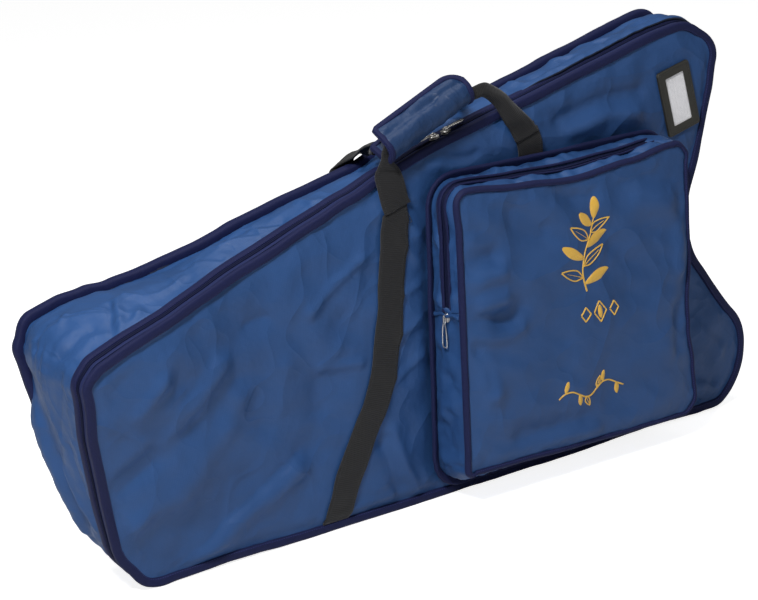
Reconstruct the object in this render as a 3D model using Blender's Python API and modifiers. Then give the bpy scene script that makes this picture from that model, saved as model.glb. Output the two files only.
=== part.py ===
"""A padded carrying cover for a small harp, standing on its long edge.

X runs along the length, from the wide base end to the neck end, Z is up, and the front faces -Y.
The origin is the middle of the bounding box's floor. All sizes are in metres.
"""

import math

import bmesh
import bpy
from mathutils import Matrix, Vector

# The whole cover
LENGTH = 1.05
HEIGHT = 0.56
DEPTH_BASE = 0.18
DEPTH_TOP = 0.105
DEPTH_BOTTOM = 0.088
BASE_END_SHARE = 0.06
TAPER_END_SHARE = 0.25

# Corners of the side view as shares of the length and the height, with their radii
HEEL_SHARES = (0.057, 0.0)
TOE_SHARES = (1.089, 0.0)
WAIST_SHARES = (0.881, 0.483)
NECK_TOP_SHARES = (0.964, 1.041)
CROWN_SHARES = (0.343, 0.759)
BASE_TOP_SHARES = (-0.006, 0.545)
HEEL_RADIUS = 0.07
TOE_RADIUS = 0.083
WAIST_RADIUS = 0.13
NECK_TOP_RADIUS = 0.05
CROWN_RADIUS = 0.8
BASE_TOP_RADIUS = 0.04

# Fabric layers and seams
GAP = 0.0003
PANEL_THICKNESS = 0.010
GUSSET_THICKNESS = 0.008
BEAD_RADIUS = 0.005
BEAD_INSET = 0.0005
LINE_STEP = 0.055
ARC_STEP = 0.26
BEAD_SIDES = 2
SPAN_SAMPLES = 720
PANEL_RING_SHARES = (1.0, 0.86, 0.68, 0.46, 0.24)

# Main zip, the same on both of its sides
TAPE_WIDTH = 0.006
TAPE_THICKNESS = 0.0012
TEETH_WIDTH = 0.0026
TEETH_HEIGHT = 0.0016
TEETH_TOP = 0.0008
BAND_WIDTH = 0.008
BAND_THICKNESS = 0.003

# Zip sliders and their pulls
SLIDER_LENGTH = 0.013
SLIDER_WIDTH = 0.009
SLIDER_THICKNESS = 0.0022
SLIDER_LIFT = 0.0005
BAIL_LENGTH = 0.0066
BAIL_RISE = 0.0044
BAIL_WIRE = 0.0007
BAIL_SHOULDER_SHARE = 0.55
BAIL_CROWN_SHARES = (0.6, 0.95)
SLIDER_NOSE_SHARE = 0.67
SLIDER_SEAT_SHARE = 0.6
PULL_WIDTH = 0.0078
PULL_THICKNESS = 0.0012
PULL_EYE_WIDTH = 0.0044
PULL_EYE_LENGTH = 0.0062
PULL_EYE_BAR = 0.0012
PULL_RUNNING_GAP = 0.0002
PULL_CORNER = 0.0018
MAIN_PULL_LENGTH = 0.030
POCKET_PULL_LENGTH = 0.040
MEETING_SHARE = 0.522
SLIDERS_APART = 0.019

# Front pocket
POCKET_LEFT_SHARE = 0.489
POCKET_WIDTH = 0.378
POCKET_HEIGHT_SHARE = 0.707
POCKET_LIFT = 0.022
POCKET_DEPTH = 0.060
POCKET_FRONT_LIFT = 0.020
POCKET_FRONT_DROP = 0.010
POCKET_CORNER_RADIUS = 0.032
POCKET_STEPS = 6
POCKET_WALL = 0.004
POCKET_BEAD_RADIUS = 0.004
POCKET_BEAD_SEAT = 0.0009
POCKET_CHAMFER = 0.008
BASE_BAND_WIDTH = 0.012
BASE_BAND_THICKNESS = 0.0022
POCKET_ZIP_SHARE = 0.44
ZIP_SIDE_SHARE = 0.60
ZIP_TOP_SHARE = 0.90
FOLD_GAP = 0.0008

# Webbing
WEB_WIDTH = 0.038
WEB_THICKNESS = 0.002
WEB_STEPS = 4
LEFT_STRAP_SHARES = (
    (0.338, 0.024), (0.354, 0.107), (0.376, 0.188), (0.402, 0.286), (0.415, 0.382), (0.424, 0.5)
)
LEFT_TACK_SHARES = (0.4367, 0.707)
RIGHT_TACK_SHARES = (0.6305, 0.827)
RIGHT_STRAP_FOOT_SHARE = 0.645
BACK_RIGHT_STRAP_SHARES = ((0.735, 0.024), (0.722, 0.107), (0.702, 0.25), (0.676, 0.42), (0.655, 0.6))

# Handle of two webbing loops inside a padded wrap, which leans over the front panel's edge
HANDLE_RISE = 0.0888
HANDLE_HALF_SPREAD = 0.0045
GRIP_WEB_WIDTH = 0.016
GRIP_WEB_THICKNESS = 0.004
WRAP_LENGTH = 0.140
WRAP_START = 0.012
WRAP_FORWARD = 0.0072
WRAP_LEAN = 0.61
WRAP_WALL = 0.006
WRAP_FOLD_RADIUS = 0.017
WRAP_FOLD_PLACE = -0.004
WRAP_MOUTH_PLACE = 0.0165
WRAP_MOUTH_HALF = 0.019
WRAP_ARC_POINTS = 9
# The loop's run from tack to tack, row by row: shares of the rise, of the way to the wrap, of the wrap and
# of the way from it, then how near the leg's plane it lies, how far it is turned on edge and how far folded
LOOP_RUN_SHARES = (
    (0.00, 0.0, 0.0, 0.0, 1.00, 0.0, 0.0),
    (0.42, 0.0, 0.0, 0.0, 1.00, 0.0, 0.0),
    (0.64, -0.1, 0.0, 0.0, 1.00, 0.0, 0.25),
    (0.78, -0.25, 0.0, 0.0, 0.87, 0.0, 0.62),
    (0.90, -0.3, 0.0, 0.0, 0.60, 0.0, 0.88),
    (0.98, -0.1, 0.0, 0.0, 0.27, 0.2, 1.0),
    (1.00, 0.4, 0.0, 0.0, 0.07, 0.6, 1.0),
    (1.00, 1.0, 0.05, 0.0, 0.00, 1.0, 1.0),
    (1.00, 1.0, 0.50, 0.0, 0.00, 1.0, 1.0),
    (1.00, 1.0, 0.97, 0.0, 0.00, 1.0, 1.0),
    (1.00, 1.0, 1.0, 0.16, 0.13, 0.67, 0.9),
    (0.93, 1.0, 1.0, 0.48, 0.50, 0.4, 0.6),
    (0.76, 1.0, 1.0, 0.80, 0.83, 0.0, 0.2),
    (0.52, 1.0, 1.0, 1.0, 1.00, 0.0, 0.0),
    (0.00, 1.0, 1.0, 1.0, 1.00, 0.0, 0.0),
)

# Label holder near the neck end's top corner
LABEL_SHARES = (0.886, 0.818)
LABEL_LEAN = 0.24
LABEL_WIDTH = 0.054
LABEL_HEIGHT = 0.088
LABEL_BORDER = 0.0105
LABEL_CORNER = 0.004
LABEL_BACK = 0.0008
LABEL_FRAME = 0.0016
LABEL_FILM = 0.0004
CARD_WIDTH = 0.036
CARD_HEIGHT = 0.070

POCKET_HEIGHT = POCKET_HEIGHT_SHARE * HEIGHT

COLOURS = {
    "fabric": ((0.045, 0.098, 0.235, 1.0), 0.62, 0.0),
    "binding": ((0.016, 0.018, 0.080, 1.0), 0.70, 0.0),
    "webbing": ((0.012, 0.013, 0.014, 1.0), 0.75, 0.0),
    "teeth": ((0.014, 0.015, 0.030, 1.0), 0.45, 0.0),
    "metal": ((0.62, 0.62, 0.64, 1.0), 0.22, 1.0),
    "plastic": ((0.026, 0.025, 0.022, 1.0), 0.40, 0.0),
    "film": ((0.80, 0.82, 0.86, 1.0), 0.12, 0.0),
    "card": ((0.80, 0.80, 0.84, 1.0), 0.60, 0.0),
}


class Outline:
    """A closed outline in the XZ plane, anticlockwise with X right and Z up, read by distance along it."""

    def __init__(self, corners):
        count = len(corners)
        self.points = [Vector((x, z)) for x, z, _ in corners]
        arcs = []
        for i, (x, z, radius) in enumerate(corners):
            here = self.points[i]
            come = (here - self.points[i - 1]).normalized()
            leave = (self.points[(i + 1) % count] - here).normalized()
            turn = math.atan2(come.x * leave.y - come.y * leave.x, come.dot(leave))
            reach = radius * math.tan(abs(turn) / 2)
            arcs.append((here - come * reach, come, radius, turn, here + leave * reach))
        self.pieces = []
        self.arc_start, self.arc_end = [], []
        total = 0.0
        for i, (start, come, radius, turn, end) in enumerate(arcs):
            self.arc_start.append(total)
            self.pieces.append((total, radius * abs(turn), start, come, radius, turn))
            total += radius * abs(turn)
            self.arc_end.append(total)
            following = arcs[(i + 1) % count][0]
            run = following - end
            self.pieces.append((total, run.length, end, run.normalized(), 0.0, 0.0))
            total += run.length
        self.total = total

    def at(self, distance):
        """The point, the direction and the outward normal at this distance."""
        distance %= self.total
        for start, length, origin, way, radius, turn in self.pieces:
            if distance <= start + length:
                break
        along = distance - start
        if not radius:
            return origin + way * along, way, Vector((way.y, -way.x))
        side = math.copysign(1.0, turn)
        angle = along / radius * side
        centre = origin + Vector((-way.y, way.x)) * radius * side
        arm = origin - centre
        cos, sin = math.cos(angle), math.sin(angle)
        point = centre + Vector((arm.x * cos - arm.y * sin, arm.x * sin + arm.y * cos))
        way = Vector((way.x * cos - way.y * sin, way.x * sin + way.y * cos))
        return point, way, Vector((way.y, -way.x))

    def at_piece(self, mark):
        """The same, where the mark counts pieces: an arc, its straight, the next arc and so on."""
        start, length = self.pieces[int(mark) % len(self.pieces)][:2]
        return self.at(start + length * (mark % 1))

    def stations(self, first=0.0, last=None, whole=False):
        """Distances from first to last: close together round a corner, further apart on a straight."""
        last = self.total if last is None else last
        marks = []
        for lap in range(2):
            for start, length, _, _, radius, turn in self.pieces:
                begin = start + lap * self.total
                steps = max(1, math.ceil(abs(turn) / ARC_STEP if radius else length / LINE_STEP))
                marks += [begin + length * step / steps for step in range(steps)]
        inside = [mark for mark in marks if first + BEAD_RADIUS < mark < last - BEAD_RADIUS]
        return [first] + inside + ([] if whole else [last])


def share_corner(shares, radius):
    return shares[0] * LENGTH, shares[1] * HEIGHT, radius


BODY = Outline([
    share_corner(HEEL_SHARES, HEEL_RADIUS),
    share_corner(TOE_SHARES, TOE_RADIUS),
    share_corner(WAIST_SHARES, WAIST_RADIUS),
    share_corner(NECK_TOP_SHARES, NECK_TOP_RADIUS),
    share_corner(CROWN_SHARES, CROWN_RADIUS),
    share_corner(BASE_TOP_SHARES, BASE_TOP_RADIUS),
])
HEEL, TOE, WAIST, NECK_TOP, CROWN, BASE_TOP = range(6)


def smooth(t):
    t = min(max(t, 0.0), 1.0)
    return t * t * (3 - 2 * t)


def top_height(x):
    low, high = BODY.points[BASE_TOP], BODY.points[NECK_TOP]
    return low.y + (high.y - low.y) * (x - low.x) / (high.x - low.x)


def depth_at(x, z):
    """How deep the cover is, front to back, over this place of the side view."""
    taper = smooth((x - BASE_END_SHARE * LENGTH) / ((TAPER_END_SHARE - BASE_END_SHARE) * LENGTH))
    upper = DEPTH_BASE + (DEPTH_TOP - DEPTH_BASE) * taper
    return DEPTH_BOTTOM + (upper - DEPTH_BOTTOM) * smooth(z / top_height(x))


def front_at(x, z):
    return -depth_at(x, z) / 2


# The side view's own extent, and the deepest places in front and behind
SPAN = [BODY.at(BODY.total * i / SPAN_SAMPLES)[0].x for i in range(SPAN_SAMPLES)]
POCKET_FRONT_Y = -DEPTH_TOP / 2 - POCKET_DEPTH
POCKET_PROUD = POCKET_BEAD_RADIUS - POCKET_BEAD_SEAT
FRONT_REACH = POCKET_FRONT_Y - POCKET_PROUD
BACK_REACH = DEPTH_BASE / 2
ORIGIN = Vector((-(min(SPAN) + max(SPAN)) / 2, -(FRONT_REACH + BACK_REACH) / 2, 0.0))


def pocket_outline(front):
    """The pocket's outline where it leaves the panel, and, with front, at its outer face."""
    left = POCKET_LEFT_SHARE * LENGTH
    right = left + POCKET_WIDTH
    bottom = POCKET_LIFT + (POCKET_FRONT_LIFT if front else 0.0)
    top = POCKET_LIFT + POCKET_HEIGHT - (POCKET_FRONT_DROP if front else 0.0)
    places = ((left, bottom), (right, bottom), (right, top), (left, top))
    return Outline([(x, z, POCKET_CORNER_RADIUS) for x, z in places])


POCKET_BASE = pocket_outline(False)
POCKET_FACE = pocket_outline(True)


def make_collection(name, hidden=False):
    group = bpy.data.collections.new(name)
    group.hide_render = hidden
    bpy.context.scene.collection.children.link(group)
    return group


def finish_of(name, finish):
    colour, roughness, metallic = COLOURS[finish]
    material = bpy.data.materials.new(name)
    material.use_nodes = True
    shader = material.node_tree.nodes["Principled BSDF"]
    shader.inputs["Base Color"].default_value = colour
    shader.inputs["Roughness"].default_value = roughness
    shader.inputs["Metallic"].default_value = metallic
    return material


def add_body(name, place, parent=None):
    """An empty on a moving piece's axis, in the side view's own coordinates, which its pieces hang from."""
    empty = bpy.data.objects.new(name, None)
    parts.objects.link(empty)
    empty.parent = parent
    empty["place"] = tuple(place)
    held_at = Vector(parent["place"]) if parent else -ORIGIN
    empty.location = Vector(place) - held_at
    return empty


def add_piece(name, data, finish, body):
    """An object whose data is drawn in the side view's own coordinates."""
    piece = bpy.data.objects.new(name, data)
    parts.objects.link(piece)
    piece.parent = body
    piece.location = -Vector(body["place"])
    data.materials.append(finish_of(name, finish))
    return piece


def shade_round(mesh):
    mesh.shade_smooth()
    mesh.set_sharp_from_angle(angle=math.radians(40))
    return mesh


def loft(sections, cyclic=False):
    """A closed mesh through like sections of points, with flat ends unless it goes all the way round."""
    build = bmesh.new()
    rings = [[build.verts.new(point) for point in section] for section in sections]
    pairs = list(zip(rings, rings[1:]))
    if cyclic:
        pairs.append((rings[-1], rings[0]))
    for one, other in pairs:
        for i in range(len(one)):
            build.faces.new((one[i - 1], one[i], other[i], other[i - 1]))
    if not cyclic:
        build.faces.new(rings[0])
        build.faces.new(rings[-1])
    bmesh.ops.recalc_face_normals(build, faces=build.faces)
    mesh = bpy.data.meshes.new("loft")
    build.to_mesh(mesh)
    build.free()
    return shade_round(mesh)


def tube(points, radius, cyclic=False):
    """A curve with a round bevel through these points."""
    curve = bpy.data.curves.new("tube", "CURVE")
    curve.dimensions = "3D"
    curve.bevel_depth = radius
    curve.bevel_resolution = BEAD_SIDES
    curve.use_fill_caps = not cyclic
    spline = curve.splines.new("POLY")
    spline.points.add(len(points) - 1)
    for place, point in zip(spline.points, points):
        place.co = (*point, 1.0)
    spline.use_cyclic_u = cyclic
    return curve


def flat(outlines, thickness):
    """A flat sheet in its own XY plane, with any outline after the first cut out of it."""
    curve = bpy.data.curves.new("flat", "CURVE")
    curve.dimensions = "2D"
    curve.fill_mode = "BOTH"
    curve.extrude = thickness / 2
    for outline in outlines:
        spline = curve.splines.new("POLY")
        spline.points.add(len(outline) - 1)
        for place, (x, y) in zip(spline.points, outline):
            place.co = (x, y, 0.0, 1.0)
        spline.use_cyclic_u = True
    return curve


def round_box(width, height, radius, centre=(0.0, 0.0)):
    """The outline of a flat box with round corners, as points."""
    points = []
    for corner, (side, end) in enumerate(((1, 1), (-1, 1), (-1, -1), (1, -1))):
        for step in range(4):
            angle = math.radians(90 * corner + 30 * step)
            x = side * (width / 2 - radius) + radius * math.cos(angle)
            y = end * (height / 2 - radius) + radius * math.sin(angle)
            points.append((centre[0] + x, centre[1] + y))
    return points


def as_mesh(curve, matrix=None):
    """A curve's evaluated mesh with its caps welded, so that it can be cut or joined."""
    holder = bpy.data.objects.new("holder", curve)
    bpy.context.scene.collection.objects.link(holder)
    graph = bpy.context.evaluated_depsgraph_get()
    mesh = bpy.data.meshes.new_from_object(holder.evaluated_get(graph))
    bpy.data.objects.remove(holder)
    if matrix:
        mesh.transform(matrix)
    build = bmesh.new()
    build.from_mesh(mesh)
    bmesh.ops.remove_doubles(build, verts=build.verts, dist=GAP / 10)
    bmesh.ops.recalc_face_normals(build, faces=build.faces)
    build.to_mesh(mesh)
    build.free()
    return mesh


def boolean(piece, other, operation):
    cut = piece.modifiers.new(operation.title(), "BOOLEAN")
    cut.operation = operation
    cut.solver = "EXACT"
    cut.object = other
    return piece


def add_cutter(name, mesh, body):
    cutter = bpy.data.objects.new(name, mesh)
    cutters.objects.link(cutter)
    cutter.parent = body
    cutter.location = -Vector(body["place"])
    cutter.hide_render = True
    cutter.display_type = "WIRE"
    return cutter


def panel_mesh(side):
    """A padded side panel inside its binding: rings of the outline round a middle point, given a thickness."""
    inset = BEAD_INSET + 2 * BEAD_RADIUS + GAP
    rim = [point - normal * inset for point, _, normal in map(BODY.at, BODY.stations(whole=True))]
    middle = sum(rim, Vector((0.0, 0.0))) / len(rim)
    build = bmesh.new()

    def corner(point):
        return build.verts.new((point.x, side * depth_at(point.x, point.y) / 2, point.y))

    rings = []
    for share in PANEL_RING_SHARES:
        rings.append([corner(middle + (point - middle) * share) for point in rim])
    for outer, inner in zip(rings, rings[1:]):
        for i in range(len(rim)):
            build.faces.new((outer[i - 1], outer[i], inner[i], inner[i - 1]))
    centre = corner(middle)
    for i in range(len(rim)):
        build.faces.new((rings[-1][i - 1], rings[-1][i], centre))
    made = bmesh.ops.extrude_face_region(build, geom=build.faces[:])
    moved = [item for item in made["geom"] if isinstance(item, bmesh.types.BMVert)]
    bmesh.ops.translate(build, verts=moved, vec=(0.0, -side * PANEL_THICKNESS, 0.0))
    bmesh.ops.recalc_face_normals(build, faces=build.faces)
    mesh = bpy.data.meshes.new("panel")
    build.to_mesh(mesh)
    build.free()
    return shade_round(mesh)


# Where each strip round the edge begins and ends, front to back, measured in from its panel's outer face
BEAD_END = 2 * BEAD_RADIUS + GAP
FRONT_TAPE_END = BEAD_END + TAPE_WIDTH
REAR_TAPE_START = FRONT_TAPE_END + GAP
REAR_TAPE_END = REAR_TAPE_START + TAPE_WIDTH
BAND_START = REAR_TAPE_END + GAP
BAND_END = BAND_START + BAND_WIDTH
GUSSET_START = BAND_END + GAP
ZIP_CENTRE = FRONT_TAPE_END + GAP / 2


def edge_section(distance, profile):
    """A section square to the outline, from pairs of inward offset and distance in from the front face."""
    point, _, normal = BODY.at(distance)
    front = front_at(point.x, point.y)
    section = []
    for inward, across in profile(-2 * front):
        spot = point - normal * inward
        section.append((spot.x, front + across, spot.y))
    return section


def edge_strip(first, last, profile, cyclic=False):
    marks = BODY.stations(first, last, whole=cyclic)
    return loft([edge_section(mark, profile) for mark in marks], cyclic)


def bead_points(side):
    points = []
    for mark in BODY.stations(whole=True):
        point, _, normal = BODY.at(mark)
        spot = point - normal * (BEAD_INSET + BEAD_RADIUS)
        y = side * (depth_at(point.x, point.y) / 2 - BEAD_RADIUS)
        points.append((spot.x, y, spot.y))
    return points


def gusset_profile(start):
    def profile(depth):
        return (
            (0.0, start),
            (0.0, depth - BEAD_END),
            (GUSSET_THICKNESS, depth - BEAD_END),
            (GUSSET_THICKNESS, start),
        )
    return profile


def band_profile(depth):
    return (
        (BEAD_INSET, BAND_START),
        (BEAD_INSET, BAND_END),
        (BAND_THICKNESS, BAND_END),
        (BAND_THICKNESS, BAND_START),
    )


def tape_profile(outer, inner):
    """One side of a zip: a tape from its outer edge to the teeth at its inner edge."""
    ridge = inner + math.copysign(TEETH_WIDTH, outer - inner)
    top = TEETH_TOP + TEETH_HEIGHT
    bottom = top + TAPE_THICKNESS

    def profile(depth):
        return (
            (top, outer),
            (top, ridge),
            (TEETH_TOP, ridge),
            (TEETH_TOP, inner),
            (bottom, inner),
            (bottom, outer),
        )
    return profile


def ribbon(stations):
    """A flat strip through stations of (middle, direction of its width, width, thickness)."""
    sections = []
    last = len(stations) - 1
    for i, (middle, across, width, thickness) in enumerate(stations):
        way = (stations[min(i + 1, last)][0] - stations[max(i - 1, 0)][0]).normalized()
        across = (across - way * across.dot(way)).normalized()
        face = way.cross(across)
        half, thick = across * width / 2, face * thickness / 2
        section = ((-1, -1), (1, -1), (1, 1), (-1, 1))
        sections.append([middle + half * edge + thick * side for edge, side in section])
    return loft(sections)


def eased(values, steps):
    """Values of any vector kind joined by a smooth curve through them."""
    out = []
    for i in range(len(values) - 1):
        before, here = values[max(i - 1, 0)], values[i]
        there, after = values[i + 1], values[min(i + 2, len(values) - 1)]
        for step in range(steps):
            t = step / steps
            out.append(
                here
                + (there - before) * (t / 2)
                + (before * 2 - here * 5 + there * 4 - after) * (t * t / 2)
                + (here * 3 - before - there * 3 + after) * (t * t * t / 2)
            )
    return out + [values[-1]]


def panel_strap(places, side):
    """Webbing lying on a side panel, from a level foot up to a bar tack along the handle's swing axis."""
    line = eased([Vector(place) for place in places], WEB_STEPS)
    last = len(line) - 1
    sections = []
    for i, here in enumerate(line):
        way = (line[min(i + 1, last)] - line[max(i - 1, 0)]).normalized()
        across = {0: Vector((1.0, 0.0)), last: HANDLE_WAY}.get(i, Vector((way.y, -way.x)))
        half = across * WEB_WIDTH / 2
        corners = []
        for lift, edge in ((GAP, -1), (GAP, 1), (GAP + WEB_THICKNESS, 1), (GAP + WEB_THICKNESS, -1)):
            spot = here + half * edge
            corners.append((spot.x, side * (depth_at(spot.x, spot.y) / 2 + lift), spot.y))
        sections.append(corners)
    return loft(sections)


def scaled(shares):
    return Vector((shares[0] * LENGTH, shares[1] * HEIGHT))


# The handle's own directions: along the line through its two bar tacks, and square to it
LEFT_TACK = scaled(LEFT_TACK_SHARES)
RIGHT_TACK = scaled(RIGHT_TACK_SHARES)
HANDLE_WAY = (RIGHT_TACK - LEFT_TACK).normalized()
HANDLE_SPAN = (RIGHT_TACK - LEFT_TACK).length
ALONG = Vector((HANDLE_WAY.x, 0.0, HANDLE_WAY.y))
ABOVE = Vector((-HANDLE_WAY.y, 0.0, HANDLE_WAY.x))
TACK_FACE = DEPTH_TOP / 2 + GAP + WEB_THICKNESS

# The wrap's own directions, square to the handle's line: from its fold to its mouth, and across that
WRAP_DEEP = Vector((0.0, math.cos(WRAP_LEAN), 0.0)) + ABOVE * math.sin(WRAP_LEAN)
WRAP_WIDE = ABOVE * math.cos(WRAP_LEAN) - Vector((0.0, math.sin(WRAP_LEAN), 0.0))
WRAP_ACROSS = -TACK_FACE - WRAP_FORWARD


def handle_point(along, above, across):
    return Vector((LEFT_TACK.x, across, LEFT_TACK.y)) + ALONG * along + ABOVE * above


def handle_loop(side):
    """A webbing loop from one bar tack to the other, folded narrow where it runs through the wrap."""
    leg = side * (TACK_FACE - WEB_THICKNESS / 2)
    spread = side * HANDLE_HALF_SPREAD
    grip = WRAP_ACROSS + spread * math.cos(WRAP_LEAN)
    top = HANDLE_RISE + spread * math.sin(WRAP_LEAN)
    clear = 2 * GAP
    run_out = HANDLE_SPAN - WRAP_START - WRAP_LENGTH
    flat_size = Vector((WEB_WIDTH, WEB_THICKNESS))
    folded_size = Vector((GRIP_WEB_WIDTH, GRIP_WEB_THICKNESS))
    middles, turns, sizes = [], [], []
    for rise, before, inside, after, near, turned, folded in LOOP_RUN_SHARES:
        along = WRAP_START * before + WRAP_LENGTH * inside + run_out * after
        above = clear + (top - clear) * rise
        middles.append(handle_point(along, above, grip + (leg - grip) * near))
        turns.append(ALONG.lerp(WRAP_WIDE, turned).normalized())
        sizes.append(flat_size.lerp(folded_size, folded))
    steps = zip(*(eased(values, WEB_STEPS) for values in (middles, turns, sizes)))
    return ribbon([(middle, turn, size.x, size.y) for middle, turn, size in steps])


def wrap_curve():
    """The wrap's section: a fold, and two leaves that open towards its mouth."""
    outer, inner = [], []
    for i in range(WRAP_ARC_POINTS):
        angle = math.radians(90 + 180 * i / (WRAP_ARC_POINTS - 1))
        ray = Vector((math.cos(angle), math.sin(angle)))
        outer.append(Vector((WRAP_FOLD_PLACE, 0.0)) + ray * WRAP_FOLD_RADIUS)
        inner.append(Vector((WRAP_FOLD_PLACE, 0.0)) + ray * (WRAP_FOLD_RADIUS - WRAP_WALL))
    mouth = WRAP_MOUTH_HALF - WRAP_WALL
    tips = [(WRAP_MOUTH_PLACE, -WRAP_MOUTH_HALF), (WRAP_MOUTH_PLACE, -mouth)]
    backs = [(WRAP_MOUTH_PLACE, mouth), (WRAP_MOUTH_PLACE, WRAP_MOUTH_HALF)]
    return flat([[*map(tuple, outer), *tips, *map(tuple, reversed(inner)), *backs]], WRAP_LENGTH)


def slider_mesh(place, way, out):
    """A slider's top plate with its wire bail, at a place, along a way and facing out."""
    across = way.cross(out)
    turn = Matrix((across, way, out)).transposed().to_4x4()
    plan = [
        (-SLIDER_WIDTH / 2, SLIDER_LENGTH / 2),
        (-SLIDER_WIDTH / 2, 0.0),
        (-SLIDER_WIDTH / 2 * SLIDER_NOSE_SHARE, -SLIDER_LENGTH / 2),
        (SLIDER_WIDTH / 2 * SLIDER_NOSE_SHARE, -SLIDER_LENGTH / 2),
        (SLIDER_WIDTH / 2, 0.0),
        (SLIDER_WIDTH / 2, SLIDER_LENGTH / 2),
    ]
    middle = place + out * (SLIDER_LIFT + SLIDER_THICKNESS / 2)
    return as_mesh(flat([plan], SLIDER_THICKNESS), Matrix.Translation(middle) @ turn)


def bail_mesh(place, way, out):
    """The wire arch that a pull hangs from, its feet sunk in the slider's plate."""
    foot = SLIDER_LIFT + SLIDER_THICKNESS / 2
    base = SLIDER_LIFT + SLIDER_THICKNESS
    half = BAIL_LENGTH / 2
    inward, crown = BAIL_CROWN_SHARES
    shoulder = (-half, base + BAIL_RISE * BAIL_SHOULDER_SHARE)
    heights = ((-half, foot), shoulder, (-half * inward, base + BAIL_RISE * crown))
    points = [place + way * along + out * up for along, up in heights]
    points += [place - way * along + out * up for along, up in reversed(heights)]
    return as_mesh(tube(points, BAIL_WIRE))


def pull_axis(place, out):
    """The middle of the pull's eye bar, inside the bail and just clear of the plate as it turns."""
    bar_reach = math.hypot(PULL_THICKNESS, PULL_EYE_BAR) / 2
    return place + out * (SLIDER_LIFT + SLIDER_THICKNESS + bar_reach + PULL_RUNNING_GAP)


def pull_mesh(axis, way, out, length):
    """A flat tab that hangs along -way from its eye bar."""
    across = way.cross(out)
    turn = Matrix((across, way, out)).transposed().to_4x4()
    start = PULL_EYE_BAR / 2
    outer = round_box(PULL_WIDTH, length, PULL_CORNER, (0.0, start - length / 2))
    centre = (0.0, -start - PULL_EYE_LENGTH / 2)
    eye = round_box(PULL_EYE_WIDTH, PULL_EYE_LENGTH, PULL_CORNER / 2, centre)
    return as_mesh(flat([outer, eye], PULL_THICKNESS), Matrix.Translation(axis) @ turn)


def add_slider(name, pull_name, carrier, place, way, out, length):
    """A slider on its own body, and a pull on another that turns in the slider's bail."""
    body = add_body(f"{name}_slide", place, carrier)
    slider = add_piece(name, slider_mesh(place, way, out), "metal", body)
    bail = add_cutter(f"{name}_bail", bail_mesh(place, way, out), body)
    boolean(slider, bail, "UNION")
    axis = pull_axis(place, out)
    swing = add_body(f"{pull_name}_swing", axis, body)
    add_piece(pull_name, pull_mesh(axis, way, out, length), "metal", swing)


def pocket_point(mark, share, inset=0.0):
    """A point of the pocket's wall: share 0 where it leaves the panel and 1 at the front face."""
    low, _, normal_low = POCKET_BASE.at_piece(mark)
    high, _, normal_high = POCKET_FACE.at_piece(mark)
    normal = normal_low.lerp(normal_high, share).normalized()
    spot = low.lerp(high, share) - normal * inset
    start = front_at(spot.x, spot.y) - GAP
    return Vector((spot.x, start + (POCKET_FRONT_Y - start) * share, spot.y))


def pocket_marks(first=0.0, last=8.0, whole=False):
    """Marks round the pocket, counted in pieces, with the same number on each corner and straight."""
    steps = [step / POCKET_STEPS for step in range(2 * 8 * POCKET_STEPS)]
    inside = [mark for mark in steps if first + 0.1 / POCKET_STEPS < mark < last - 0.1 / POCKET_STEPS]
    return [first] + inside + ([] if whole else [last])


def pocket_strip(marks, profile, cyclic=False):
    """A strip round the pocket through pairs of share towards the front and inward offset."""
    sections = [[pocket_point(mark, share, inset) for share, inset in profile] for mark in marks]
    return loft(sections, cyclic)


for item in list(bpy.data.objects):
    bpy.data.objects.remove(item)
parts = make_collection("harp_cover")
cutters = make_collection("harp_cover_cutters", hidden=True)

shell = add_body("shell", (0.0, 0.0, 0.0))
HINGE_Y = -DEPTH_BOTTOM / 2 + BEAD_RADIUS
flap = add_body("front_flap", (0.0, HINGE_Y, BEAD_INSET + BEAD_RADIUS), shell)


def build_shell():
    """The back panel, the four strips round the edge, their seam bindings and the fixed half of the zip."""
    zip_first, zip_last = BODY.arc_start[TOE], BODY.total + BODY.arc_end[HEEL]
    add_piece("back_panel", panel_mesh(1), "fabric", shell)
    add_piece("back_binding", tube(bead_points(1), BEAD_RADIUS, cyclic=True), "binding", shell)
    half = GAP / 2
    runs = {
        "bottom_gusset": (BODY.arc_end[HEEL], BODY.arc_start[TOE], BEAD_END),
        "neck_gusset": (BODY.arc_start[TOE], BODY.arc_end[NECK_TOP], GUSSET_START),
        "top_gusset": (BODY.arc_end[NECK_TOP], BODY.arc_start[BASE_TOP], GUSSET_START),
        "base_gusset": (BODY.arc_start[BASE_TOP], BODY.total + BODY.arc_end[HEEL], GUSSET_START),
    }
    for name, (first, last, start) in runs.items():
        add_piece(name, edge_strip(first + half, last - half, gusset_profile(start)), "fabric", shell)
    ends = (zip_first + half, zip_last - half)
    add_piece("zip_band", edge_strip(*ends, band_profile), "binding", shell)
    teeth = tape_profile(REAR_TAPE_END, REAR_TAPE_START)
    add_piece("zip_teeth_rear", edge_strip(*ends, teeth), "teeth", shell)


def build_front():
    """The front panel that opens, with its binding and its half of the zip."""
    half = GAP / 2
    add_piece("front_panel", panel_mesh(-1), "fabric", flap)
    add_piece("front_binding", tube(bead_points(-1), BEAD_RADIUS, cyclic=True), "binding", flap)
    teeth = tape_profile(BEAD_END, FRONT_TAPE_END)
    ends = (BODY.arc_start[TOE] + half, BODY.total + BODY.arc_end[HEEL] - half)
    add_piece("zip_teeth_front", edge_strip(*ends, teeth), "teeth", flap)


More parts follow.
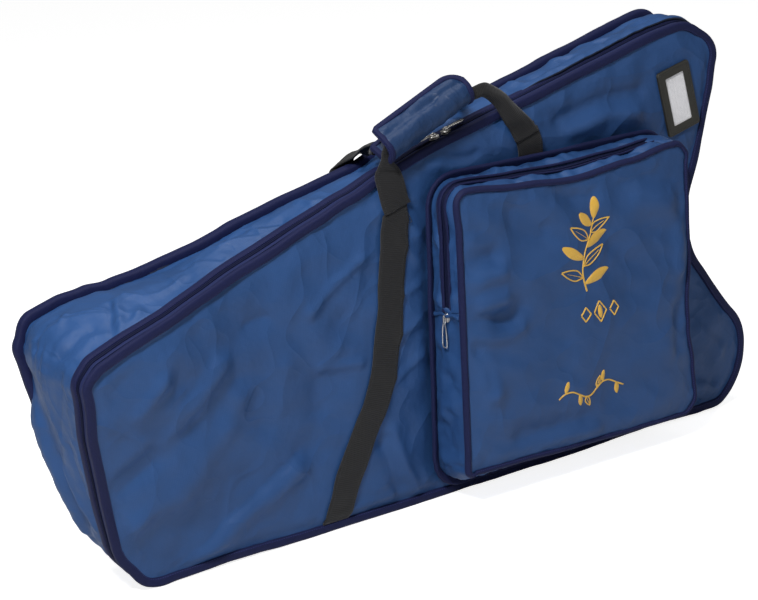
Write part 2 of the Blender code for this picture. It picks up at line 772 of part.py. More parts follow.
def build_main_sliders():
    """Two sliders that meet on the straight between the crown and the neck's top corner."""
    first, last = BODY.arc_end[NECK_TOP], BODY.arc_start[CROWN]
    target = MEETING_SHARE * LENGTH
    start, end = BODY.at(first)[0].x, BODY.at(last)[0].x
    meeting = first + (last - first) * (target - start) / (end - start)
    for name, away in (("base", 1), ("neck", -1)):
        spot, way, normal = BODY.at(meeting + away * SLIDERS_APART / 2)
        y = front_at(spot.x, spot.y) + ZIP_CENTRE
        out = Vector((normal.x, 0.0, normal.y))
        place = Vector((spot.x, y, spot.y)) - out * TEETH_TOP
        forward = -Vector((way.x, 0.0, way.y)) * away
        add_slider(f"zip_slider_{name}", f"zip_pull_{name}", shell, place, forward, out, MAIN_PULL_LENGTH)


def build_straps():
    """The webbing sewn to the panels, and the two loops and the wrap that make the handle."""
    foot = [scaled(shares) for shares in LEFT_STRAP_SHARES]
    below = Vector((0.0, GAP))
    left = foot + [LEFT_TACK - below]
    pocket_top = POCKET_LIFT + POCKET_HEIGHT + BASE_BAND_THICKNESS
    right = [Vector((RIGHT_STRAP_FOOT_SHARE * LENGTH, pocket_top + GAP + GAP)), RIGHT_TACK - below]
    back_right = [scaled(shares) for shares in BACK_RIGHT_STRAP_SHARES] + [RIGHT_TACK - below]
    add_piece("front_strap_left", panel_strap(left, -1), "webbing", flap)
    add_piece("front_strap_right", panel_strap(right, -1), "webbing", flap)
    add_piece("back_strap_left", panel_strap(left, 1), "webbing", shell)
    add_piece("back_strap_right", panel_strap(back_right, 1), "webbing", shell)
    front_tack = (LEFT_TACK.x, -TACK_FACE, LEFT_TACK.y)
    back_tack = (LEFT_TACK.x, TACK_FACE, LEFT_TACK.y)
    front_swing = add_body("front_handle_swing", front_tack, flap)
    back_swing = add_body("back_handle_swing", back_tack, shell)
    add_piece("handle_loop_front", handle_loop(-1), "webbing", front_swing)
    add_piece("handle_loop_back", handle_loop(1), "webbing", back_swing)
    middle = handle_point(WRAP_START + WRAP_LENGTH / 2, HANDLE_RISE, WRAP_ACROSS)
    turn = Matrix((WRAP_DEEP, WRAP_WIDE, -ALONG)).transposed().to_4x4()
    wrap = as_mesh(wrap_curve(), Matrix.Translation(middle) @ turn)
    add_piece("handle_wrap", shade_round(wrap), "fabric", front_swing)


def build_pocket():
    """The zipped pocket: a wall round it, and a front tray whose upper corner folds open."""
    around = pocket_marks(whole=True)
    depth = POCKET_DEPTH
    zip_low = POCKET_ZIP_SHARE - (TEETH_WIDTH + GAP / 2) / depth
    zip_high = POCKET_ZIP_SHARE + (TEETH_WIDTH + GAP / 2) / depth
    step = GAP / depth
    band = BASE_BAND_WIDTH / depth
    wall_end = zip_low - step
    wall = ((0.0, 0.0), (band, 0.0), (wall_end, 0.0), (wall_end, POCKET_WALL), (0.0, POCKET_WALL))
    add_piece("pocket_wall", pocket_strip(around, wall, cyclic=True), "fabric", flap)
    low, high = -GAP, -GAP - BASE_BAND_THICKNESS
    edging = ((0.0, low), (0.0, high), (band, high), (band, low))
    add_piece("pocket_base_binding", pocket_strip(around, edging, cyclic=True), "binding", flap)

    left = POCKET_FACE.points[3].x
    low_z, high_z = POCKET_FACE.points[0].y, POCKET_FACE.points[3].y
    far_x = left + POCKET_WIDTH * ZIP_TOP_SHARE
    low_end = low_z + (high_z - low_z) * ZIP_SIDE_SHARE
    fold_low, fold_high = Vector((left, low_end)), Vector((far_x, high_z))
    along = (fold_high - fold_low).normalized()
    axis = Vector((fold_low.x, FRONT_REACH, fold_low.y))
    corner = add_body("pocket_corner_fold", axis, flap)

    radius = POCKET_CORNER_RADIUS
    top_run, side_run = POCKET_FACE.pieces[5][1], POCKET_FACE.pieces[7][1]
    top_mark = 5 + (left + POCKET_WIDTH - radius - far_x) / top_run
    side_mark = 7 + (high_z - radius - low_end) / side_run
    gap = FOLD_GAP / side_run
    open_marks = pocket_marks(top_mark + gap, side_mark - gap)
    shut_marks = pocket_marks(side_mark + gap, 8 + top_mark - gap)
    teeth_top = -TEETH_HEIGHT
    rear = ((zip_low, 0.0), (zip_low, teeth_top), (POCKET_ZIP_SHARE - step / 2, teeth_top),
            (POCKET_ZIP_SHARE - step / 2, TAPE_THICKNESS), (zip_low, TAPE_THICKNESS))
    front = ((zip_high, 0.0), (zip_high, teeth_top), (POCKET_ZIP_SHARE + step / 2, teeth_top),
             (POCKET_ZIP_SHARE + step / 2, TAPE_THICKNESS), (zip_high, TAPE_THICKNESS))
    add_piece("pocket_teeth_rear", pocket_strip(around, rear, cyclic=True), "teeth", flap)
    add_piece("pocket_teeth_corner", pocket_strip(open_marks, front), "teeth", corner)
    add_piece("pocket_teeth_front", pocket_strip(shut_marks, front), "teeth", flap)

    shape = tray_mesh(around, zip_high + step)
    block_size = 2 * (POCKET_WIDTH + POCKET_HEIGHT)
    cut_way = Vector((along.x, 0.0, along.y))
    cut_up = Vector((-along.y, 0.0, along.x))
    for name, body, side in (("pocket_front", flap, 1), ("pocket_corner", corner, -1)):
        tray = add_piece(name, shape.copy(), "fabric", body)
        thick = tray.modifiers.new("Solidify", "SOLIDIFY")
        thick.thickness = POCKET_WALL
        thick.offset = -1.0
        thick.use_even_offset = True
        turn = Matrix((cut_way, cut_way.cross(cut_up), cut_up)).transposed().to_4x4()
        middle = axis + cut_up * side * (block_size / 2 - FOLD_GAP / 2)
        block = bpy.data.meshes.new("fold_cutter")
        build = bmesh.new()
        bmesh.ops.create_cube(build, size=block_size, matrix=Matrix.Translation(middle) @ turn)
        bmesh.ops.recalc_face_normals(build, faces=build.faces)
        build.to_mesh(block)
        build.free()
        boolean(tray, add_cutter(f"{name}_cutter", block, body), "DIFFERENCE")

    bead_open = [bead_spot(mark) for mark in open_marks]
    bead_shut = [bead_spot(mark) for mark in shut_marks]
    add_piece("pocket_binding_corner", as_mesh(tube(bead_open, POCKET_BEAD_RADIUS)), "binding", corner)
    add_piece("pocket_binding_front", as_mesh(tube(bead_shut, POCKET_BEAD_RADIUS)), "binding", flap)

    slider_mark = side_mark + (SLIDER_LENGTH * SLIDER_SEAT_SHARE + FOLD_GAP) / side_run
    place = pocket_point(slider_mark, POCKET_ZIP_SHARE, teeth_top)
    up, out = Vector((0.0, 0.0, 1.0)), Vector((-1.0, 0.0, 0.0))
    add_slider("pocket_slider", "pocket_pull", flap, place, up, out, POCKET_PULL_LENGTH)


def tray_mesh(marks, share_start):
    """The pocket's front as an open surface: a rim, a chamfer that its binding sits on, and a flat face."""
    chamfer = 1 - POCKET_CHAMFER / POCKET_DEPTH
    build = bmesh.new()
    rows = ((share_start, 0.0), (chamfer, 0.0), (1.0, POCKET_CHAMFER))
    rings = []
    for share, inset in rows:
        rings.append([build.verts.new(pocket_point(mark, share, inset)) for mark in marks])
    for one, other in zip(rings, rings[1:]):
        for i in range(len(one)):
            build.faces.new((one[i - 1], one[i], other[i], other[i - 1]))
    build.faces.new(rings[-1])
    bmesh.ops.recalc_face_normals(build, faces=build.faces)
    mesh = bpy.data.meshes.new("tray")
    build.to_mesh(mesh)
    build.free()
    return shade_round(mesh)


def bead_spot(mark):
    """The middle of the pocket's front binding, which lies against the chamfer with its front in one plane."""
    edge = pocket_point(mark, 1 - POCKET_CHAMFER / POCKET_DEPTH)
    crest = pocket_point(mark, 1.0, POCKET_CHAMFER)
    deep = edge.y - crest.y
    run = math.hypot(edge.x - crest.x, edge.z - crest.z)
    away = (POCKET_BEAD_RADIUS + GAP) * math.hypot(run, deep) + POCKET_BEAD_SEAT * run
    return pocket_point(mark, 1.0, POCKET_CHAMFER - away / deep) + Vector((0.0, POCKET_BEAD_SEAT, 0.0))


def build_label():
    """The label holder: a back, a frame with a window, a clear film and a card that slides out at the top."""
    middle = scaled(LABEL_SHARES)
    up = Vector((math.sin(-LABEL_LEAN), 0.0, math.cos(LABEL_LEAN)))
    right = Vector((math.cos(LABEL_LEAN), 0.0, math.sin(LABEL_LEAN)))
    turn = Matrix((right, up, Vector((0.0, -1.0, 0.0)))).transposed().to_4x4()
    half_right, half_up = right.xz * LABEL_WIDTH / 2, up.xz * LABEL_HEIGHT / 2
    corners = [middle + half_right * side + half_up * end for side in (-1, 1) for end in (-1, 1)]
    face = min(front_at(corner.x, corner.y) for corner in corners)

    def layer(name, outlines, start, thickness, finish, body):
        y = face - GAP - start - thickness / 2
        mesh = as_mesh(flat(outlines, thickness), Matrix.Translation((middle.x, y, middle.y)) @ turn)
        add_piece(name, mesh, finish, body)
        return start + thickness + GAP

    window = (LABEL_WIDTH - 2 * LABEL_BORDER, LABEL_HEIGHT - 2 * LABEL_BORDER)
    whole = round_box(LABEL_WIDTH, LABEL_HEIGHT, LABEL_CORNER)
    after = layer("label_back", [whole], 0.0, LABEL_BACK, "plastic", flap)
    card_body = add_body("label_card_slide", (middle.x, face - GAP - after, middle.y), flap)
    card = [round_box(CARD_WIDTH, CARD_HEIGHT, LABEL_CORNER / 2)]
    after = layer("label_card", card, after, LABEL_FILM, "card", card_body)
    film = [round_box(window[0] + LABEL_BORDER, window[1] + LABEL_BORDER, LABEL_CORNER / 2)]
    after = layer("label_film", film, after, LABEL_FILM, "film", flap)
    frame = [whole, round_box(*window, LABEL_CORNER / 2)]
    layer("label_frame", frame, after, LABEL_FRAME, "plastic", flap)


build_shell()
build_front()
build_main_sliders()
build_straps()
build_pocket()
build_label()
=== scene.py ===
"""The harp cover as the photograph shows it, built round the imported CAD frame.

Shapes are worked out in the side view's own coordinates (x from the base end, y from the middle of the
depth, z up) and moved by ORIGIN into the frame's coordinates.
"""

import math

import bmesh
import bpy
import numpy as np
from mathutils import Matrix, Vector, noise


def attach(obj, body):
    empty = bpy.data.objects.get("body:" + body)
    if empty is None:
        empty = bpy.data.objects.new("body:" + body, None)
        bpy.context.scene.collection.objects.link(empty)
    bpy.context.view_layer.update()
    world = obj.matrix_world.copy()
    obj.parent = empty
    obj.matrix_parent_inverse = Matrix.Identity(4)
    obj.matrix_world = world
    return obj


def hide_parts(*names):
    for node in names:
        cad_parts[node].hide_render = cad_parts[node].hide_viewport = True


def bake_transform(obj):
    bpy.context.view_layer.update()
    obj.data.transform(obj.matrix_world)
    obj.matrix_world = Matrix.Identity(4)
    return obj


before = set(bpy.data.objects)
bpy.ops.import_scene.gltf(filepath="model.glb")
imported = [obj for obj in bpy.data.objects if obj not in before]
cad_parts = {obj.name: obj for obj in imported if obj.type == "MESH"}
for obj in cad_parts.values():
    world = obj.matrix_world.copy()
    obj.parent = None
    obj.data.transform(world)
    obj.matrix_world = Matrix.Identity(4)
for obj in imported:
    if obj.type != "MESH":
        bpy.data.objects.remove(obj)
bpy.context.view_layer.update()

# Same values as the part
LENGTH, HEIGHT = 1.05, 0.56
DEPTH_BASE, DEPTH_TOP, DEPTH_BOTTOM = 0.18, 0.105, 0.088
BASE_END_SHARE, TAPER_END_SHARE = 0.06, 0.25
ORIGIN = Vector((-0.52661, 0.0128, 0.0))
CORNERS = (
    (0.057, 0.0, 0.07),
    (1.089, 0.0, 0.083),
    (0.881, 0.483, 0.13),
    (0.964, 1.041, 0.05),
    (0.343, 0.759, 0.8),
    (-0.006, 0.545, 0.04),
)
HEEL, TOE, WAIST, NECK_TOP, CROWN, BASE_TOP = range(6)


class Outline:
    """A closed outline in the XZ plane, anticlockwise, read by distance along it."""

    def __init__(self, corners):
        count = len(corners)
        self.points = [Vector((x, z)) for x, z, _ in corners]
        arcs = []
        for i, (x, z, radius) in enumerate(corners):
            here = self.points[i]
            come = (here - self.points[i - 1]).normalized()
            leave = (self.points[(i + 1) % count] - here).normalized()
            turn = math.atan2(come.x * leave.y - come.y * leave.x, come.dot(leave))
            reach = radius * math.tan(abs(turn) / 2)
            arcs.append((here - come * reach, come, radius, turn, here + leave * reach))
        self.pieces, self.arc_start, self.arc_end = [], [], []
        total = 0.0
        for i, (start, come, radius, turn, end) in enumerate(arcs):
            self.arc_start.append(total)
            self.pieces.append((total, radius * abs(turn), start, come, radius, turn))
            total += radius * abs(turn)
            self.arc_end.append(total)
            run = arcs[(i + 1) % count][0] - end
            self.pieces.append((total, run.length, end, run.normalized(), 0.0, 0.0))
            total += run.length
        self.total = total

    def at(self, distance):
        """The point, the direction and the outward normal at this distance."""
        distance %= self.total
        for start, length, origin, way, radius, turn in self.pieces:
            if distance <= start + length:
                break
        along = distance - start
        if not radius:
            return origin + way * along, way, Vector((way.y, -way.x))
        side = math.copysign(1.0, turn)
        angle = along / radius * side
        centre = origin + Vector((-way.y, way.x)) * radius * side
        arm = origin - centre
        cos, sin = math.cos(angle), math.sin(angle)
        point = centre + Vector((arm.x * cos - arm.y * sin, arm.x * sin + arm.y * cos))
        way = Vector((way.x * cos - way.y * sin, way.x * sin + way.y * cos))
        return point, way, Vector((way.y, -way.x))

    def at_piece(self, mark):
        """The same at a place counted in corners and sides."""
        start, length = self.pieces[int(mark) % len(self.pieces)][:2]
        return self.at(start + length * (mark % 1))


BODY = Outline([(x * LENGTH, z * HEIGHT, radius) for x, z, radius in CORNERS])
BOTTOM_FIRST, BOTTOM_LAST = BODY.arc_end[HEEL], BODY.arc_start[TOE]
ZIP_FIRST, ZIP_LAST = BODY.arc_start[TOE], BODY.total + BODY.arc_end[HEEL]
FORWARD, BACKWARD = Vector((0.0, -1.0, 0.0)), Vector((0.0, 1.0, 0.0))


def smooth(t):
    """A smooth step from 0 to 1 while t goes from 0 to 1."""
    t = np.clip(t, 0.0, 1.0)
    return t * t * (3 - 2 * t)


def fading(distance, width):
    """A bell that is 1 at zero and dies away over this width."""
    return np.exp(-((distance / width) ** 2))


def upright(way):
    """A direction of the side view as one in space."""
    return Vector((way.x, 0.0, way.y))


def turned(wide, high, angle):
    """Two square directions turned about the line that is square to both."""
    cos, sin = math.cos(angle), math.sin(angle)
    return wide * cos + high * sin, high * cos - wide * sin


def depth_at(x, z):
    """How deep the bag is at a place of the side view."""
    low, high = BODY.points[BASE_TOP], BODY.points[NECK_TOP]
    top = low.y + (high.y - low.y) * (x - low.x) / (high.x - low.x)
    taper = smooth((x - BASE_END_SHARE * LENGTH) / ((TAPER_END_SHARE - BASE_END_SHARE) * LENGTH))
    upper = DEPTH_BASE + (DEPTH_TOP - DEPTH_BASE) * taper
    return DEPTH_BOTTOM + (upper - DEPTH_BOTTOM) * smooth(z / top)


# How far the soft edge strays from the straight outline: (distance along it, outward offset)
FRONT_STRAY = [
    (0.035, -0.004), (0.070, 0.002), (0.110, 0.0), (0.180, -0.0025), (0.320, 0.0), (0.710, 0.0),
    (0.870, -0.004), (0.960, -0.001), (1.000, 0.008), (1.100, 0.010), (1.160, 0.0065), (1.250, 0.009),
    (1.320, 0.012), (1.430, 0.0165), (1.500, 0.016), (1.540, 0.012), (1.600, -0.0065), (1.700, 0.0),
    (2.070, 0.0), (2.130, -0.004), (2.190, -0.012), (2.250, -0.0175), (2.340, -0.021), (2.400, -0.018),
    (2.460, -0.0145), (2.535, -0.0095), (2.595, -0.0135), (2.640, -0.007), (2.700, 0.0), (2.850, 0.0),
]
BACK_STRAY = [
    (0.0, -0.0125), (0.040, -0.0135), (0.070, -0.012), (0.120, -0.003), (0.160, 0.0), (1.000, 0.004),
    (1.400, 0.006), (1.600, 0.0055), (1.640, -0.0015), (1.750, -0.003), (1.860, -0.006), (2.000, -0.004),
    (2.070, -0.011), (2.120, -0.0175), (2.180, -0.0165), (2.250, -0.013), (2.320, -0.0085), (2.430, -0.0065),
    (2.470, -0.004), (2.500, 0.0025), (2.535, 0.008), (2.570, 0.0085), (2.605, -0.006), (2.640, -0.009),
    (2.680, -0.008), (2.750, -0.003), (2.785, -0.0045), (2.850, -0.009),
]


def stray(table, distance, total):
    """A smooth offset through the table's rows, closed round an outline of this length."""
    distance %= total
    before = max((row for row in table if row[0] <= distance), default=(table[-1][0] - total, table[-1][1]))
    after = min((row for row in table if row[0] > distance), default=(table[0][0] + total, table[0][1]))
    t = (distance - before[0]) / max(after[0] - before[0], 1e-9)
    return before[1] + (after[1] - before[1]) * float(smooth(t))


def wander(value, seed, scale):
    """A smooth random number from -1 to 1 that changes over about this length."""
    return noise.noise(Vector((value / scale, seed * 7.31, seed * 3.17)))


EDGE_WAVER = 0.0009
RIM_COUNT = 1500
NEAREST_AT_ONCE = 4000


def edge_offset(distance, side):
    """How far the sewn edge of one side lies outside the outline."""
    table = FRONT_STRAY if side < 0 else BACK_STRAY
    return stray(table, distance, BODY.total) + EDGE_WAVER * wander(distance, 3 + side, 0.05)


def rim(places):
    """Points and outward normals of an edge, from places of an outline and their outward offsets."""
    places = list(places)
    points = [point + normal * offset for (point, _, normal), offset in places]
    return np.array(points), np.array([normal for (_, _, normal), _ in places])


def body_rim(side):
    """The sewn edge of one side."""
    marks = [BODY.total * i / RIM_COUNT for i in range(RIM_COUNT)]
    return rim((BODY.at(mark), edge_offset(mark, side)) for mark in marks)


RIMS = {side: body_rim(side) for side in (-1, 1)}


def inside_rim(x, z, edge):
    """How far each place is inside an edge, and the nearest point of the edge and its normal."""
    points, normals = edge
    flat = np.stack([x.ravel(), z.ravel()], 1)
    near = np.empty(len(flat), int)
    for start in range(0, len(flat), NEAREST_AT_ONCE):
        part = flat[start:start + NEAREST_AT_ONCE]
        near[start:start + NEAREST_AT_ONCE] = ((part[:, None, :] - points[None]) ** 2).sum(2).argmin(1)
    inside = -((flat - points[near]) * normals[near]).sum(1)
    pairs = (*x.shape, 2)
    return inside.reshape(x.shape), points[near].reshape(pairs), normals[near].reshape(pairs)


STEEPEST_FOLD, HIGHEST_FOLD = 0.60, 0.0090
TINY = 1e-12


def folds_at(a, b, folds, strength):
    """Soft ridges and creases: each is a polyline, a width, a height and a sharpness."""
    out = np.zeros_like(a)
    for places, width, height, power in folds:
        best = np.full(a.shape, 1e9)
        for (a0, b0), (a1, b1) in zip(places, places[1:]):
            da, db = a1 - a0, b1 - b0
            t = np.clip(((a - a0) * da + (b - b0) * db) / (da * da + db * db + TINY), 0, 1)
            best = np.minimum(best, np.hypot(a - a0 - t * da, b - b0 - t * db))
        limit = min(STEEPEST_FOLD * width, HIGHEST_FOLD)
        out += np.clip(height * strength, -limit, limit) * np.exp(-((best / width) ** power))
    return out


def rumple(a, b, seed, scale, height, stretch=1.0):
    """Smooth random relief, stretched along a."""
    places = zip((a / (scale * stretch)).ravel(), (b / scale).ravel())
    flat = [noise.noise(Vector((u, v, seed * 5.7))) for u, v in places]
    return np.array(flat).reshape(a.shape) * height


# Meshes


def link(name, data):
    """An object in the scene that holds this data."""
    made = bpy.data.objects.new(name, data)
    bpy.context.scene.collection.objects.link(made)
    return made


def dress(piece, body, nodes=()):
    """Say what the piece rides on and the nodes that it replaces.

    A piece without a body has its placement baked into its mesh, in the frame's coordinates.
    """
    if body:
        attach(piece, body)
    if nodes:
        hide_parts(*nodes)
    if not body:
        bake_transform(piece)
    return piece


def make(name, points, faces, uvs, finishes, thickness=0.0, offset=-1.0):
    """A mesh object in the frame's coordinates, with a UV map in metres."""
    mesh = bpy.data.meshes.new(name)
    shifted = np.asarray(points, float).reshape(-1, 3) + np.array(ORIGIN)
    mesh.from_pydata(shifted.tolist(), [], [tuple(face) for face in faces])
    layer = mesh.uv_layers.new(name="UVMap")
    loops = np.empty(len(mesh.loops), np.int32)
    mesh.loops.foreach_get("vertex_index", loops)
    flat = np.asarray(uvs, float).reshape(-1, 2)[loops]
    layer.data.foreach_set("uv", flat.astype(np.float32).ravel())
    for finish in finishes:
        mesh.materials.append(finish)
    mesh.shade_smooth()
    piece = link(name, mesh)
    if thickness:
        thick = piece.modifiers.new("Thickness", "SOLIDIFY")
        thick.thickness = thickness
        thick.offset = offset
        if len(finishes) > 1:
            thick.material_offset = 1
            thick.material_offset_rim = 1
    return piece


def grid(rows, out=None, closed=False, start=0):
    """Faces of a grid of points (rows, columns, 3), turned to face out.

    closed joins its last row to its first.
    """
    count, width = rows.shape[:2]
    faces = []
    for i in range(count if closed else count - 1):
        k = (i + 1) % count
        for j in range(width - 1):
            faces.append((i * width + j, k * width + j, k * width + j + 1, i * width + j + 1))
    faces = np.array(faces)
    if out is not None:
        flat = rows.reshape(-1, 3)
        a, b, c = flat[faces[:, 0]], flat[faces[:, 1]], flat[faces[:, 2]]
        guide = np.broadcast_to(np.asarray(out, float), rows.shape).reshape(-1, 3)[faces[:, 0]]
        if (np.cross(b - a, c - a) * guide).sum() < 0:
            faces = faces[:, ::-1]
    return faces + start


def cut_sheet(name, xs, zs, step, edge, inset, surface, finishes, thickness, flipped=False):
    """A grid in the side view, cut and snapped at this inset from an edge, and lifted onto a surface."""
    x, z = np.meshgrid(np.arange(*xs, step), np.arange(*zs, step), indexing="ij")
    inside, nearest, normals = inside_rim(x, z, edge)
    keep = inside > inset - step * 0.95
    move = keep & (inside < inset)
    snapped = nearest - normals * inset
    x = np.where(move, snapped[..., 0], x)[keep]
    z = np.where(move, snapped[..., 1], z)[keep]
    inside = np.where(move, inset, inside)[keep]
    index = -np.ones(keep.shape, int)
    index[keep] = np.arange(keep.sum())
    i, j = np.nonzero(keep[:-1, :-1] & keep[1:, :-1] & keep[1:, 1:] & keep[:-1, 1:])
    faces = np.stack([index[i, j], index[i + 1, j], index[i + 1, j + 1], index[i, j + 1]], 1)
    if flipped:
        faces = faces[:, ::-1]
    points = np.stack([x, surface(x, z, inside), z], 1)
    return make(name, points, faces, np.stack([x, z], 1), finishes, thickness)


def run_lengths(points):
    """The distance along a line at each of its points."""
    steps = np.linalg.norm(np.diff(points, axis=0), axis=1)
    return np.concatenate([[0.0], np.cumsum(steps)])


def circle(count):
    """Cosine and sine of this many even turns."""
    angles = [2 * math.pi * k / count for k in range(count)]
    return [(math.cos(angle), math.sin(angle)) for angle in angles]


def signed_power(value, power):
    """A power of the value's size, with its sign."""
    return math.copysign(abs(value) ** power, value)


def oval(half_wide, half_high, count=14, power=0.62):
    """A flattened round section, as pairs."""
    places = [(signed_power(c, power), signed_power(s, power)) for c, s in circle(count)]
    return [(wide * half_wide, high * half_high) for wide, high in places]


def start_mesh():
    """An empty mesh to build on, and its UV layer."""
    build = bmesh.new()
    return build, build.loops.layers.uv.new("UVMap")


def add_face(build, layer, verts, places):
    """A face with its UV places."""
    face = build.faces.new(verts)
    for corner, place in zip(face.loops, places):
        corner[layer].uv = place
    return face


def end_mesh(build, name, finish):
    """The built mesh as an object with one material."""
    bmesh.ops.recalc_face_normals(build, faces=build.faces)
    mesh = bpy.data.meshes.new(name)
    build.to_mesh(mesh)
    build.free()
    mesh.materials.append(finish)
    return link(name, mesh)


def sweep(name, centres, wides, highs, section, finish, closed=True, swell=None):
    """A tube along centres. wides and highs are the section's two directions at each centre."""
    centres, wides, highs = (np.asarray(v, float) for v in (centres, wides, highs))
    section = np.asarray(section, float)
    count, sides = len(centres), len(section)
    scale = np.ones(count) if swell is None else np.asarray(swell)
    rows = (
        centres[:, None, :]
        + wides[:, None, :] * section[None, :, 0, None] * scale[:, None, None]
        + highs[:, None, :] * section[None, :, 1, None] * scale[:, None, None]
    )
    rows[..., 2] = np.maximum(rows[..., 2], 0.0)
    loop = np.concatenate([section, section[:1]])
    around = run_lengths(np.stack([loop[:, 0], loop[:, 1], loop[:, 0] * 0], 1))
    along = run_lengths(np.concatenate([centres, centres[:1]]) if closed else centres)
    build, layer = start_mesh()
    verts = [[build.verts.new(Vector(p) + ORIGIN) for p in ring] for ring in rows]
    for i in range(count if closed else count - 1):
        k = (i + 1) % count
        for j in range(sides):
            m = (j + 1) % sides
            ends = ((along[i], around[j]), (along[i + 1], around[j]))
            ends += ((along[i + 1], around[j + 1]), (along[i], around[j + 1]))
            face = add_face(build, layer, (verts[i][j], verts[k][j], verts[k][m], verts[i][m]), ends)
            face.smooth = True
    if not closed:
        for ring in (verts[0], verts[-1]):
            build.faces.new(ring)
    return end_mesh(build, name, finish)


# Materials

WEAVE_PITCH, RIB_PITCH, WEB_PITCH = 0.0021, 0.0017, 0.0024
STITCH_LENGTH, STITCH_HALF_WIDE = 0.0034, 0.0006


class Shader:
    """A material whose Principled shader is fed by small chains of nodes."""

    def __init__(self, name, colour, roughness, metallic=0.0, **settings):
        self.material = bpy.data.materials.new(name)
        self.material.use_nodes = True
        self.tree = self.material.node_tree
        self.shader = self.tree.nodes["Principled BSDF"]
        self.height = None
        settings.update(Base_Color=(*colour, 1.0), Roughness=roughness, Metallic=metallic)
        for key, value in settings.items():
            self.shader.inputs[key.replace("_", " ")].default_value = value

    def node(self, kind, settings=None, **inputs):
        """A node with these settings. Its sockets go by name or, as i0 and so on, by number."""
        made = self.tree.nodes.new(kind)
        for key, value in (settings or {}).items():
            setattr(made, key, value)
        for key, value in inputs.items():
            place = made.inputs[int(key[1:])] if key[1:].isdigit() else made.inputs[key]
            if isinstance(value, bpy.types.NodeSocket):
                self.tree.links.new(value, place)
            else:
                place.default_value = value
        return made

    def feed(self, output, key):
        """Link an output to one of the Principled shader's inputs."""
        self.tree.links.new(output, self.shader.inputs[key])

    def maths(self, operation, a, b=0.0, clamp=False):
        """One step of arithmetic."""
        settings = {"operation": operation, "use_clamp": clamp}
        return self.node("ShaderNodeMath", settings, i0=a, i1=b).outputs[0]

    def plus(self, a, b, clamp=False):
        """Their sum."""
        return self.maths("ADD", a, b, clamp)

    def minus(self, a, b, clamp=False):
        """Their difference."""
        return self.maths("SUBTRACT", a, b, clamp)

    def times(self, a, b, clamp=False):
        """Their product."""
        return self.maths("MULTIPLY", a, b, clamp)

    def mixed(self, a, share_a, b, share_b, clamp=True):
        """The sum of shares of two values."""
        return self.plus(self.times(a, share_a), self.times(b, share_b), clamp)

    def half_plus(self, value, factor):
        """A half plus a share of a value."""
        settings = {"operation": "MULTIPLY_ADD"}
        return self.node("ShaderNodeMath", settings, i0=value, i1=factor, i2=0.5).outputs[0]

    def uv(self):
        """The piece's own two coordinates, in metres."""
        place = self.node("ShaderNodeUVMap", {"uv_map": "UVMap"})
        parts = self.node("ShaderNodeSeparateXYZ", Vector=place.outputs[0])
        return parts.outputs[0], parts.outputs[1]

    def noise(self, scale, detail=2.0, rough=0.5):
        """Noise through the piece's own space."""
        where = self.node("ShaderNodeTexCoord").outputs["Object"]
        made = self.node("ShaderNodeTexNoise", Vector=where, Scale=scale, Detail=detail, Roughness=rough)
        return made.outputs["Fac"]

    def spread(self, value, low, high):
        """A value from 0 to 1 spread from low to high."""
        return self.node("ShaderNodeMapRange", i0=value, i3=low, i4=high).outputs[0]

    def wave(self, coordinate, period):
        """A sine from 0 to 1 along a coordinate in metres."""
        return self.half_plus(self.maths("SINE", self.times(coordinate, 2 * math.pi / period)), 0.5)

    def near(self, value, middle, half_wide):
        """One where the value is this middle one, and nothing beyond this half width from it."""
        off = self.maths("ABSOLUTE", self.minus(value, middle))
        return self.minus(1.0, self.maths("DIVIDE", off, half_wide), clamp=True)

    def colour_between(self, factor, first, light):
        """Colour the surface from the first colour, which may be an output, to a light one."""
        if not isinstance(first, bpy.types.NodeSocket):
            first = (*first, 1.0)
        mix = self.node("ShaderNodeMix", {"data_type": "RGBA"}, i0=factor, i6=first, i7=(*light, 1.0))
        self.feed(mix.outputs[2], "Base Color")
        return mix.outputs[2]

    def stitches(self, under, u, v, at, colour):
        """A row of stitches along u at this place across, over the colour that is there."""
        near = self.near(v, at, STITCH_HALF_WIDE)
        dash = self.times(self.minus(self.wave(u, STITCH_LENGTH), 0.3), 5.0, clamp=True)
        mask = self.times(near, dash)
        over = self.colour_between(mask, under, colour)
        self.bump(mask, 0.5, 0.0005)
        return over

    def bump(self, height, strength, distance):
        """Raise the surface by this height, on top of the bumps before it."""
        made = self.node("ShaderNodeBump", Strength=strength, Distance=distance, Height=height)
        if self.height is not None:
            self.tree.links.new(self.height, made.inputs["Normal"])
        self.height = made.outputs[0]
        self.feed(self.height, "Normal")


def shade(colour, share):
    """A colour made darker or lighter."""
    return tuple(channel * share for channel in colour)


